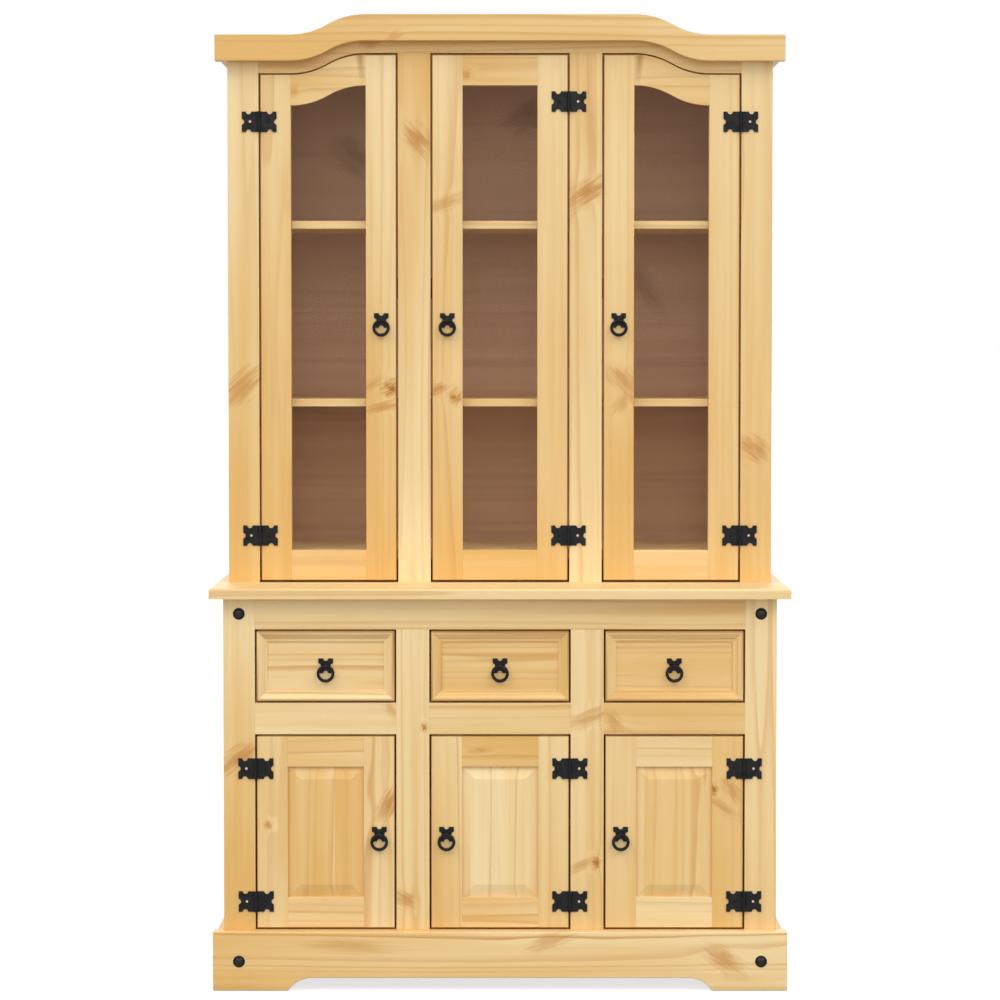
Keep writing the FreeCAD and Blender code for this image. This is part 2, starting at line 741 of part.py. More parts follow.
def hutch_doors():
    doors = []
    for name, place, side in BAYS:
        hinge_high = GLAZED_HIGH if place == 0 else f"({FRIEZE_LOW} - dim.door_gap)"
        heights = (
            f"({hinge_high} - dim.hutch_hinge_from_top)",
            f"({GLAZED_LOW} + dim.hutch_hinge_from_bottom)",
        )
        doors.append(Door(f"hutch_door_{name}", place, side, HUTCH_FRONT,
                          GLAZED_LOW, hinge_high, GLAZED_HIGH, heights))
    return doors


def panel_door(door):
    """Grooved stiles and rails round a raised and fielded panel."""
    groove_front = f"({door.front} + dim.groove_lip)"
    groove_back = f"({groove_front} + dim.groove_width)"
    groove = (groove_front, groove_back)
    thickness = (door.front, door.back)
    grooved_half = f"({HALF_SIGHT} + dim.groove_depth)"
    high = door.lock_high
    sight_low = f"({door.low} + dim.door_member)"
    sight_high = f"({high} - dim.door_member)"
    slot = board("PanelSlot", both_ways(door.centre, grooved_half), groove,
                 (f"({sight_low} - dim.groove_depth)", f"({sight_high} + dim.groove_depth)"))
    rails = []
    tongues = []
    for level in ((door.low, sight_low), (sight_high, high)):
        rail = board("DoorRail", both_ways(door.centre, HALF_SIGHT), thickness, level)
        tongue = board("DoorTongue", both_ways(door.centre, grooved_half), groove, level)
        rails.append(cut("DoorRailGrooved", joined("DoorRailTongued", [rail, tongue]), [slot]))
        tongues.append(tongue)
    stiles = [
        cut("DoorStileGrooved",
            board("DoorStile", door.across(side, HALF_SIGHT, HALF_DOOR), thickness, (door.low, high)),
            [slot] + tongues)
        for side in (LEFT, RIGHT)
    ]
    node(door.label + "_frame", stiles + rails)
    panel_front = f"({groove_front} + dim.panel_fit)"
    edge_half = f"({grooved_half} - dim.panel_fit)"
    edge = "(dim.groove_depth - dim.panel_fit)"
    plate = board("PanelPlate", both_ways(door.centre, edge_half),
                  (panel_front, f"({groove_back} - dim.panel_fit)"),
                  (f"({sight_low} - {edge})", f"({sight_high} + {edge})"))
    field_front = f"({door.front} + dim.panel_setback)"
    field = doc.addObject("Part::Wedge", "PanelField")
    field_half = f"({HALF_SIGHT} - dim.panel_fit)"
    corners = (
        ("Xmin", f"{door.centre} - {field_half} + dim.panel_bevel"),
        ("Xmax", f"{door.centre} + {field_half} - dim.panel_bevel"),
        ("X2min", f"{door.centre} - {field_half}"),
        ("X2max", f"{door.centre} + {field_half}"),
        ("Ymin", field_front),
        ("Ymax", panel_front),
        ("Zmin", f"{sight_low} + dim.panel_fit + dim.panel_bevel"),
        ("Zmax", f"{sight_high} - dim.panel_fit - dim.panel_bevel"),
        ("Z2min", f"{sight_low} + dim.panel_fit"),
        ("Z2max", f"{sight_high} - dim.panel_fit"),
    )
    for corner, expression in corners:
        field.setExpression(corner, expression)
    node(door.label + "_panel", [joined("Panel", [plate, field])])


def glazed_top_rail(door):
    """A straight top rail, or one that rises by an S-curve from the hinge stile to the lock stile."""
    if door.hinge_high == door.lock_high:
        return board("TopRail", both_ways(door.centre, HALF_SIGHT), (door.front, door.back),
                     below(door.lock_high, "dim.door_member"))
    lower = swept_edge(door.hinge_side, f"({door.hinge_high} - dim.door_member)")
    upper = swept_edge(door.hinge_side, door.hinge_high)
    return slab("TopRail", "XZ_Plane", lower + reversed_edge(upper), "dim.door_thick", y=door.back)


def glazed_door(door):
    """Rebated stiles and lapped rails round a sheet of glass, which four beads hold from behind."""
    thickness = (door.front, door.back)
    glass_front = f"({door.front} + dim.glass_lip)"
    glass_back = f"({glass_front} + dim.glass_thick)"
    lap = (glass_front, door.back)
    rebated_half = f"({HALF_SIGHT} + dim.glass_rebate)"
    sight_low = f"({door.low} + dim.door_member)"
    sight_high = f"({door.lock_high} - dim.door_member)"
    glass_low = f"({sight_low} - dim.glass_rebate)"
    glass_high = f"({sight_high} + dim.glass_rebate)"
    recess = board("GlassRecess", both_ways(door.centre, rebated_half),
                   (glass_front, f"({door.back} + dim.overrun)"), (glass_low, glass_high))
    bottom = board("LowRail", both_ways(door.centre, HALF_SIGHT), thickness, (door.low, sight_low))
    bottom_lap = board("LowLap", both_ways(door.centre, rebated_half), lap, (door.low, sight_low))
    top_laps = [
        board("TopLap", door.across(side, HALF_SIGHT, rebated_half), lap,
              below(door.high(side), "dim.door_member"))
        for side in (LEFT, RIGHT)
    ]
    rails = [
        cut("LowRailRebated", joined("LowRailLapped", [bottom, bottom_lap]), [recess]),
        cut("TopRailRebated", joined("TopRailLapped", [glazed_top_rail(door)] + top_laps), [recess]),
    ]
    stiles = [
        cut("GlazedStileRebated",
            board("GlazedStile", door.across(side, HALF_SIGHT, HALF_DOOR), thickness,
                  (door.low, door.high(side))),
            [recess, bottom_lap] + top_laps)
        for side in (LEFT, RIGHT)
    ]
    bead_depth = (glass_back, door.back)
    beads = [
        board("SideBead", door.across(side, HALF_SIGHT, rebated_half), bead_depth, (glass_low, glass_high))
        for side in (LEFT, RIGHT)
    ]
    beads += [
        board("LevelBead", both_ways(door.centre, HALF_SIGHT), bead_depth, level)
        for level in ((glass_low, sight_low), (sight_high, glass_high))
    ]
    node(door.label + "_frame", stiles + rails + beads)
    node(door.label + "_glass", [
        board("Glass", both_ways(door.centre, f"({rebated_half} - dim.glass_fit)"),
              (glass_front, glass_back),
              (f"({glass_low} + dim.glass_fit)", f"({glass_high} - dim.glass_fit)"))
    ])


def door_fittings(door, door_leaf, pull_plate):
    """The door's hinge leaves and its pull, on the middle of the lock stile."""
    flipped = door.hinge_side == RIGHT
    leaves = [
        copy_of("DoorLeafCopy", door_leaf, door.axis_x, door.front, height, flipped=flipped)
        for height in door.hinge_heights
    ]
    lock_middle = f"({HALF_DOOR} - dim.door_member / 2)"
    pull_x = f"({door.centre} - ({door.hinge_side}) * {lock_middle})"
    pull_z = f"({door.middle} - dim.pull_drop)"
    plate = copy_of("DoorPull", pull_plate, pull_x, door.front, pull_z)
    node(door.label + "_fittings", leaves + [plate])
    hang_ring(door.label + "_ring", pull_x, door.front, pull_z)


def carcass_fittings(doors, frame_leaf, pin):
    """The leaves and pins that stay on the stiles, and a catch behind each lock stile."""
    leaves = []
    pins = []
    catches = []
    for door in doors:
        flipped = door.hinge_side == LEFT
        for height in door.hinge_heights:
            leaves.append(copy_of("FrameLeafCopy", frame_leaf, door.axis_x, door.front, height, flipped))
            pins.append(copy_of("PinCopy", pin, door.axis_x, f"({door.front} - {AXIS_STANDOFF})",
                                f"({height} - {HALF_LEAF})"))
        frame_back = f"({door.front} + dim.frame_thick)"
        catches.append(board("Catch", door.across(-door.hinge_side, f"({HALF_DOOR} - dim.catch_reach)",
                                                  f"({BAY} / 2 + dim.catch_seat)"),
                             above(frame_back, "dim.catch_thick"),
                             both_ways(f"({door.middle} + dim.catch_lift)", "(dim.catch_height / 2)")))
    node("frame_hinge_leaves", leaves)
    node("hinge_pins", pins)
    node("door_catches", catches)


# The drawer moulding's section, from its outer edge inwards: distance in, and height off the panel
SLOPE_END = "(dim.moulding_lip + dim.moulding_slope)"
MOULDING_SECTION = (
    ("0", "dim.moulding_rise"),
    ("dim.moulding_lip", "dim.moulding_rise"),
    (SLOPE_END, "dim.moulding_edge"),
    (f"({SLOPE_END} + dim.moulding_ledge)", "dim.moulding_edge"),
)


def moulding_strip(length, corner, turns, face):
    """A mitred strip with a lip, a slope and a ledge, turned by quarters about the front."""
    upright = FreeCAD.Rotation(X_AXIS, QUARTER_TURN)
    turned = FreeCAD.Rotation(Y_AXIS, -QUARTER_TURN * turns).multiply(upright)
    runs = []
    for (near, near_height), (far, far_height) in zip(MOULDING_SECTION, MOULDING_SECTION[1:]):
        run = doc.addObject("Part::Wedge", "MouldingRun")
        corners = (
            ("Xmin", near),
            ("Xmax", f"{length} - {near}"),
            ("X2min", far),
            ("X2max", f"{length} - {far}"),
            ("Ymin", near),
            ("Ymax", far),
            ("Zmin", "0"),
            ("Zmax", near_height),
            ("Z2min", "0"),
            ("Z2max", far_height),
        )
        for name, expression in corners:
            run.setExpression(name, expression)
        run.Placement = FreeCAD.Placement(FreeCAD.Vector(), turned)
        bind_place(run, corner[0], face, corner[1])
        runs.append(run)
    return joined("Moulding", runs)


def drawer(label, place, pull_plate):
    centre = bay_centre(place)
    low = f"({DRAWER_BOTTOM} + dim.door_gap)"
    high = f"({DRAWER_TOP} - dim.door_gap)"
    across = both_ways(centre, HALF_DOOR)
    face = f"({BASE_FRONT} + dim.moulding_rise)"
    panel = board("DrawerPanel", across, (face, BASE_FRAME_BACK), (low, high))
    width = f"(2 * {HALF_DOOR})"
    height = f"({high} - {low})"
    ends = (
        (width, (across[0], low)),
        (height, (across[1], low)),
        (width, (across[1], high)),
        (height, (across[0], high)),
    )
    strips = [moulding_strip(length, corner, turns, face) for turns, (length, corner) in enumerate(ends)]
    node(label + "_front", [panel] + strips)

    box_low = f"({RUNNER_TOP} + dim.glide_gap)"
    box_high = f"({DRAWER_TOP} - dim.drawer_head_room)"
    box_back = f"({PANEL_FACE} - dim.drawer_back_gap)"
    depth = (BASE_FRAME_BACK, box_back)
    inner = f"({HALF_DOOR} - dim.drawer_side_thick)"
    bottom_level = above(f"({box_low} + dim.drawer_bottom_lift)", "dim.drawer_bottom_thick")
    bottom = board("DrawerBottom", both_ways(centre, f"({inner} + dim.bottom_groove)"), depth, bottom_level)
    sides = [
        cut("DrawerSideGrooved",
            board("DrawerSide", span(centre, side, inner, HALF_DOOR), depth, (box_low, box_high)),
            [bottom])
        for side in (LEFT, RIGHT)
    ]
    back = board("DrawerBack", both_ways(centre, inner), below(box_back, "dim.drawer_side_thick"),
                 (bottom_level[1], box_high))
    node(label + "_box", sides + [back, bottom])

    pull_z = f"(({low} + {high}) / 2)"
    node(label + "_pull_plate", [copy_of("DrawerPull", pull_plate, centre, face, pull_z)])
    hang_ring(label + "_ring", centre, face, pull_z)


def corner_studs():
    """Domed studs, flat against the outer stiles and the plinth."""
    ball = "((dim.stud_radius ^ 2 + dim.stud_rise ^ 2) / (2 * dim.stud_rise))"
    sunk = f"({ball} - dim.stud_rise)"
    studs = []
    upper = (BASE_FRONT, f"({BODY_TOP} - dim.stud_inset)")
    lower = (PLINTH_FRONT, "(dim.plinth_height / 2)")
    for face, height in (upper, lower):
        for side in (LEFT, RIGHT):
            stud = doc.addObject("Part::Sphere", "Stud")
            stud.setExpression("Radius", ball)
            stud.setExpression("Angle1", f"asin({sunk} / {ball})")
            stud.Placement = FreeCAD.Placement(FreeCAD.Vector(), FreeCAD.Rotation(X_AXIS, QUARTER_TURN))
            bind_place(stud, f"({side} * ({HALF_BODY} - dim.stud_inset))", f"({face} + {sunk})", height)
            studs.append(stud)
    node("corner_studs", studs)


base_carcass()
base_face_frame()
drawer_runners()
base_top()
plinth()
hutch_carcass()
hutch_face_frame()
cornice()
corner_studs()

frame_leaf, door_leaf, pin = hinge_masters()
pull_plate = pull_plate_master()
panelled = base_doors()
glazed = hutch_doors()
carcass_fittings(panelled + glazed, frame_leaf, pin)
for name, place, hinge_side in BAYS:
    drawer(f"drawer_{name}", place, pull_plate)
for door in panelled:
    panel_door(door)
for door in glazed:
    glazed_door(door)
for door in panelled + glazed:
    door_fittings(door, door_leaf, pull_plate)

doc.recompute()
for piece in doc.Objects:
    if "Invalid" in piece.State or "Error" in piece.State:
        raise RuntimeError(f"{piece.Label} could not be built")
for piece in nodes:
    if shape_of(piece).isNull() or not shape_of(piece).isValid():
        raise RuntimeError(f"{piece.Label} has no valid shape")
os.makedirs("parts", exist_ok=True)
for piece in nodes:
    shape_of(piece).exportStep(f"parts/{piece.Label}.step")
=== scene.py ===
import json
import math
import random

import bmesh
import bpy
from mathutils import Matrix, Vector


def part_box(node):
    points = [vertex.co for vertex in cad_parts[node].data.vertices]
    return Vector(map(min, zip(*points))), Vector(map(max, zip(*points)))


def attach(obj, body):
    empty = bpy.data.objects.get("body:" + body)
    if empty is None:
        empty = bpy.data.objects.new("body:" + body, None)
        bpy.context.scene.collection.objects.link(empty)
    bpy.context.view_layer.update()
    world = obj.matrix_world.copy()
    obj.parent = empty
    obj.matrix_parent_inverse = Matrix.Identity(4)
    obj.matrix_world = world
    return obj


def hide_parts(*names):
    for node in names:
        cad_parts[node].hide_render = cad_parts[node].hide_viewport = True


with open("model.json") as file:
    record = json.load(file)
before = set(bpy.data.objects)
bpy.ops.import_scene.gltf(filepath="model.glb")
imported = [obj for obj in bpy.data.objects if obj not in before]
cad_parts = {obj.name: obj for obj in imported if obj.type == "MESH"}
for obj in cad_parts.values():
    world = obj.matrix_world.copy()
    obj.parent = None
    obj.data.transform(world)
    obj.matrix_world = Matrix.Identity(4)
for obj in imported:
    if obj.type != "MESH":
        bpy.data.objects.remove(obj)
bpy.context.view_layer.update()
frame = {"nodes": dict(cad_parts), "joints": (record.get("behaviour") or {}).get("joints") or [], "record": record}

MM = 0.001
BAYS = ("left", "middle", "right")
DOORS = [f"{tier}_door_{bay}" for tier in ("base", "hutch") for bay in BAYS]
DRAWERS = [f"drawer_{bay}" for bay in BAYS]
BACK_PANELS = ("base_back_panel", "hutch_back_panel")
ALONG_X, ALONG_Y, ALONG_Z = range(3)
WHITE = (1.0, 1.0, 1.0, 1.0)
BODY_OF = {
    node: body
    for body, members in frame["record"]["behaviour"]["bodies"].items()
    for node in members
}


def shade(red, green, blue):
    """A colour as the eye sees it, 0 to 255 each, as the light values that a shader takes."""
    lights = []
    for level in (red / 255, green / 255, blue / 255):
        lights.append(level / 12.92 if level <= 0.04045 else ((level + 0.055) / 1.055) ** 2.4)
    return (*lights, 1.0)


# Laying out shader nodes


class Bench:
    """Lays nodes in one shader tree. Each call feeds a node and hands back what the node puts out."""

    def __init__(self, tree):
        self.tree = tree

    def lay(self, kind, **settings):
        node = self.tree.nodes.new(kind)
        for name, value in settings.items():
            setattr(node, name, value)
        return node

    def feed(self, socket, value):
        if isinstance(value, bpy.types.NodeSocket):
            self.tree.links.new(value, socket)
        else:
            socket.default_value = value

    def sum(self, operation, *values):
        node = self.lay("ShaderNodeMath", operation=operation)
        for socket, value in zip(node.inputs, values):
            self.feed(socket, value)
        return node.outputs[0]

    def add(self, first, second):
        return self.sum("ADD", first, second)

    def less(self, first, second):
        return self.sum("SUBTRACT", first, second)

    def times(self, first, second):
        return self.sum("MULTIPLY", first, second)

    def divide(self, first, second):
        return self.sum("DIVIDE", first, second)

    def most(self, first, second):
        return self.sum("MAXIMUM", first, second)

    def size(self, value):
        return self.sum("ABSOLUTE", value)

    def swing(self, value, reach):
        """0 to 1 becomes half the reach to either side of 0."""
        return self.times(self.less(value, 0.5), reach)

    def distance(self, first, second):
        """How far off a point lies, by two distances square to each other."""
        return self.sum("SQRT", self.add(self.times(first, first), self.times(second, second)))

    def split(self, vector):
        node = self.lay("ShaderNodeSeparateXYZ")
        self.feed(node.inputs[0], vector)
        return node.outputs

    def point(self, x, y, z):
        node = self.lay("ShaderNodeCombineXYZ")
        for socket, value in zip(node.inputs, (x, y, z)):
            self.feed(socket, value)
        return node.outputs[0]

    def noise(self, vector, detail, roughness=0.5):
        """Soft noise, one bump for each unit of the vector: a value and a colour of three more."""
        node = self.lay("ShaderNodeTexNoise")
        self.feed(node.inputs["Vector"], vector)
        node.inputs["Scale"].default_value = 1.0
        node.inputs["Detail"].default_value = detail
        node.inputs["Roughness"].default_value = roughness
        return node.outputs

    def speckle(self, bumps_to_a_metre, detail, roughness=0.5):
        """The value of soft noise that goes right through a piece."""
        scaled = self.lay("ShaderNodeVectorMath", operation="SCALE")
        self.feed(scaled.inputs[0], self.lay("ShaderNodeTexCoord").outputs["Object"])
        scaled.inputs["Scale"].default_value = bumps_to_a_metre
        return self.noise(scaled.outputs[0], detail, roughness)[0]

    def dice(self, value):
        """A fixed random value and colour for each whole number."""
        node = self.lay("ShaderNodeTexWhiteNoise", noise_dimensions="1D")
        self.feed(node.inputs["W"], value)
        return node.outputs

    def step(self, value, low, high):
        """Rises smoothly from 0 at low to 1 at high; high may be below low."""
        rising = low < high
        node = self.lay("ShaderNodeMapRange", interpolation_type="SMOOTHSTEP")
        limits = (low, high, 0.0, 1.0) if rising else (high, low, 1.0, 0.0)
        self.feed(node.inputs["Value"], value)
        for socket, limit in zip(node.inputs[1:5], limits):
            socket.default_value = limit
        return node.outputs[0]

    def stretch(self, value, low, high):
        """0 to 1 becomes low to high."""
        node = self.lay("ShaderNodeMapRange", clamp=True)
        self.feed(node.inputs["Value"], value)
        for socket, limit in zip(node.inputs[1:5], (0.0, 1.0, low, high)):
            socket.default_value = limit
        return node.outputs[0]

    def mix(self, share, first, second, blend="MIX"):
        node = self.lay("ShaderNodeMix", data_type="RGBA", blend_type=blend)
        self.feed(node.inputs[0], share)
        self.feed(node.inputs[6], first)
        self.feed(node.inputs[7], second)
        return node.outputs[2]

    def mark(self, name):
        """A value that was written on the mesh, as a vector and as a number."""
        node = self.lay("ShaderNodeAttribute", attribute_type="GEOMETRY", attribute_name=name)
        return node.outputs["Vector"], node.outputs["Fac"]

    def group(self, tree, **values):
        node = self.lay("ShaderNodeGroup", node_tree=tree)
        for name, value in values.items():
            self.feed(node.inputs[name.replace("_", " ")], value)
        return node.outputs

    def dent(self, surface, height, strength, depth):
        """Roughens a surface by a height that changes over it."""
        bump = self.lay("ShaderNodeBump")
        bump.inputs["Strength"].default_value = strength
        bump.inputs["Distance"].default_value = depth
        self.feed(bump.inputs["Height"], height)
        self.feed(surface.inputs["Normal"], bump.outputs[0])

    def seen(self):
        """1 where the camera, gloss or glass looks, and 0 where light only falls."""
        path = self.lay("ShaderNodeLightPath").outputs
        straight = self.most(path["Is Camera Ray"], path["Is Glossy Ray"])
        return self.most(straight, path["Is Transmission Ray"])


def new_group(name, inputs, outputs):
    """An empty node group: its bench, the sockets that come in, and the node that takes what goes out."""
    tree = bpy.data.node_groups.new(name, "ShaderNodeTree")
    for label, kind in inputs:
        tree.interface.new_socket(name=label, in_out="INPUT", socket_type="NodeSocket" + kind)
    for label in outputs:
        tree.interface.new_socket(name=label, in_out="OUTPUT", socket_type="NodeSocketFloat")
    bench = Bench(tree)
    source = bench.lay("NodeGroupInput")
    return bench, source.outputs, bench.lay("NodeGroupOutput").inputs


# Noise in a board: bumps to a metre along the grain and across it, and how finely they break up
WANDER = (1.1, 3.0, 1.0)
QUIVER = (5.0, 20.0, 1.5)
CROWDING = (0.3, 22.0, 1.0)
FIBRE = (12.0, 620.0, 3.0)
THREAD = (3.0, 210.0, 2.0)
CLOUD = (1.8, 11.0, 2.5)
BAND = (0.9, 32.0, 2.0)
FIBRE_ROUGHNESS = 0.6

# Where that noise starts and ends to show
THREAD_SHOWS = (0.56, 0.78)
CLOUD_SHOWS = (0.28, 0.74)
BAND_SHOWS = (0.3, 0.72)

# Year rings: how many to a metre, how much they crowd, how far they wander,
# and the late wood's share of a year
RINGS_TO_A_METRE = 42.0
RINGS_CROWDED = 4.5
WANDER_ACROSS = 50 * MM
WANDER_DEEP = 60 * MM
QUIVER_REACH = 2.2 * MM
LATE_WOOD_RISES = (0.5, 0.92)
LATE_WOOD_ENDS = (1.0, 0.94)
FAINTEST_YEAR, STRONGEST_YEAR = 0.12, 1.0

# Glued staves: the seam between two, and how far apart they lay in the log
SEAM_SHOWS = (1.8 * MM, 0.3 * MM)
STAVE_SEED = 3.7
STAVE_SHIFT_ALONG = 9.0
STAVE_SHIFT_ACROSS = 120 * MM


def pine_figure():
    """The figure of sawn pine, from where a point lies in its board and where the board lay in the log."""
    bench, given, out = new_group(
        "pine figure",
        (("Board", "Vector"), ("Log", "Vector"), ("Stave", "Vector"), ("Bend", "Float")),
        ("Ring", "Fibre", "Streak", "Cloud", "Band", "Seam", "Stave Tone"),
    )
    along, across, deep = bench.split(given["Board"])
    shift, pith_across, pith_deep = bench.split(given["Log"])
    stave_width, stave_shift, seam_depth = bench.split(given["Stave"])
    in_staves = bench.divide(bench.add(across, stave_shift), stave_width)
    stave = bench.sum("ROUND", in_staves)
    from_middle = bench.size(bench.less(in_staves, stave))
    from_seam = bench.times(bench.less(0.5, from_middle), stave_width)
    bench.feed(out["Seam"], bench.times(bench.step(from_seam, *SEAM_SHOWS), seam_depth))
    stave_colour = bench.dice(bench.add(bench.times(stave, STAVE_SEED), shift))[1]
    stave_red, stave_green, stave_blue = bench.split(stave_colour)
    glued = bench.sum("MINIMUM", bench.size(stave), 1.0)
    bench.feed(out["Stave Tone"], bench.times(bench.swing(stave_blue, 1.0), glued))

    log_along = bench.add(bench.add(along, shift), bench.times(stave_red, STAVE_SHIFT_ALONG))
    log_across = bench.less(bench.less(across, bench.times(stave, stave_width)), pith_across)
    log_across = bench.add(log_across, bench.times(glued, bench.swing(stave_green, STAVE_SHIFT_ACROSS)))
    log_deep = bench.less(deep, pith_deep)

    def drawn_out(bumps, roughness=0.5):
        """Noise drawn out along the grain: a value and a colour."""
        along_rate, across_rate, detail = bumps
        vector = bench.point(
            bench.times(log_along, along_rate),
            bench.times(log_across, across_rate),
            bench.times(log_deep, across_rate),
        )
        return bench.noise(vector, detail, roughness)

    wander_across, wander_deep, _ = bench.split(drawn_out(WANDER)[1])
    ring_across = bench.add(log_across, bench.swing(wander_across, WANDER_ACROSS))
    ring_deep = bench.add(log_deep, bench.swing(wander_deep, WANDER_DEEP))
    quiver = bench.swing(drawn_out(QUIVER)[0], QUIVER_REACH)
    reach = bench.add(bench.distance(ring_across, ring_deep), quiver)
    crowded = bench.times(drawn_out(CROWDING)[0], RINGS_CROWDED)
    years = bench.add(bench.times(reach, RINGS_TO_A_METRE), bench.add(given["Bend"], crowded))
    year = bench.sum("FRACT", years)
    growth = bench.times(bench.step(year, *LATE_WOOD_RISES), bench.step(year, *LATE_WOOD_ENDS))
    luck = bench.dice(bench.sum("FLOOR", years))[0]
    strength = bench.stretch(bench.times(luck, luck), FAINTEST_YEAR, STRONGEST_YEAR)
    bench.feed(out["Ring"], bench.times(growth, strength))
    bench.feed(out["Fibre"], drawn_out(FIBRE, FIBRE_ROUGHNESS)[0])
    bench.feed(out["Streak"], bench.step(drawn_out(THREAD)[0], *THREAD_SHOWS))
    bench.feed(out["Cloud"], bench.step(drawn_out(CLOUD)[0], *CLOUD_SHOWS))
    bench.feed(out["Band"], bench.step(drawn_out(BAND)[0], *BAND_SHOWS))
    return bench.tree


# A knot's edge is torn by ragged noise and by licks along the branch: bumps to a half length and half width
RAGGED = (0.8, 1.3)
LICKS = (0.55, 4.5)
RAGGED_REACH = 2.2
LICKS_REACH = 2.4
KNOT_DETAIL = 2.0
BRANCH_SEED = 40.0

# How far out, in half sizes of the knot, its parts begin and where they are full, and how strong they are
FLAME_SHOWS = (2.3, 0.2)
HEART_SHOWS = (0.75, 0.1)
HEART_STRENGTHS = (0.85, 1.1)
HALO_SHOWS = (5.5, 0.8)
HALO_STRENGTH = 0.4
BEND_SHOWS = (4.6, 0.2)
BEND_STRENGTH = 0.3


def knot_mark():
    """A knot or the flame of a buried branch: how dark it is here, and how far it bends the rings."""
    bench, given, out = new_group(
        "knot mark",
        (("Board", "Vector"), ("Place", "Vector"), ("Size", "Vector")),
        ("Mark", "Heart", "Halo", "Bend"),
    )
    along, across, _ = bench.split(given["Board"])
    knot_along, knot_across, lean = bench.split(given["Place"])
    half_length, half_width, strength = bench.split(given["Size"])
    off_along = bench.less(along, knot_along)
    off_across = bench.less(across, knot_across)
    cosine = bench.sum("COSINE", lean)
    sine = bench.sum("SINE", lean)
    lengthwise = bench.add(bench.times(off_along, cosine), bench.times(off_across, sine))
    sideways = bench.less(bench.times(off_across, cosine), bench.times(off_along, sine))
    lengthwise = bench.divide(lengthwise, half_length)
    sideways = bench.divide(sideways, half_width)
    branch = bench.times(bench.add(knot_along, lean), BRANCH_SEED)
    far = bench.distance(lengthwise, sideways)
    torn = far
    for (length_rate, side_rate), reach in ((RAGGED, RAGGED_REACH), (LICKS, LICKS_REACH)):
        vector = bench.point(bench.times(lengthwise, length_rate), bench.times(sideways, side_rate), branch)
        torn = bench.add(torn, bench.swing(bench.noise(vector, KNOT_DETAIL)[0], reach))
    sound = bench.step(strength, *HEART_STRENGTHS)
    bench.feed(out["Mark"], bench.times(bench.step(torn, *FLAME_SHOWS), strength))
    bench.feed(out["Heart"], bench.times(bench.step(torn, *HEART_SHOWS), sound))
    bench.feed(out["Halo"], bench.times(bench.step(far, *HALO_SHOWS), bench.times(strength, HALO_STRENGTH)))
    bench.feed(out["Bend"], bench.times(bench.step(far, *BEND_SHOWS), bench.times(strength, BEND_STRENGTH)))
    return bench.tree


PINE_FIGURE = pine_figure()
KNOT_MARK = knot_mark()
KNOTS_TO_A_BOARD = 3

# How pine's colour is mixed: what makes it warm, from palest to warmest, and how much of each mark shows
PALEST, WARMEST = -1.2, 1.7
CLOUD_WARMTH = 1.25
BAND_WARMTH = 0.85
MEAN_WARMTH = (CLOUD_WARMTH + BAND_WARMTH) / 2
HALO_PALENESS = 0.5
STREAK_SHARE = 0.16
KNOT_SHARE = 0.95
# The rim mark is painted shade: it darkens the eased edges beside the gaps of doors and drawers
GAP_SHADE_SHARE = 0.75
FIBRE_DARK, FIBRE_LIGHT = 0.95, 1.05

# How pine's surface feels
ROUGHNESS_SWING = 0.07
PINE_GLOSS = 0.3
WAX_ROUGHNESS = 0.35
GRAIN_DEPTH = 0.25 * MM
GRAIN_STRENGTH = 0.2
RING_HEIGHT_SHARE = 0.6

# Where the noise on iron starts to show as rubbed, and where it is full
RUBBED_SHOWS = (0.35, 0.75)


def new_material(name):
    """A material with a bench to lay its nodes on, and its surface shader."""
    material = bpy.data.materials.new(name)
    material.use_nodes = True
    bench = Bench(material.node_tree)
    return material, bench, material.node_tree.nodes["Principled BSDF"]


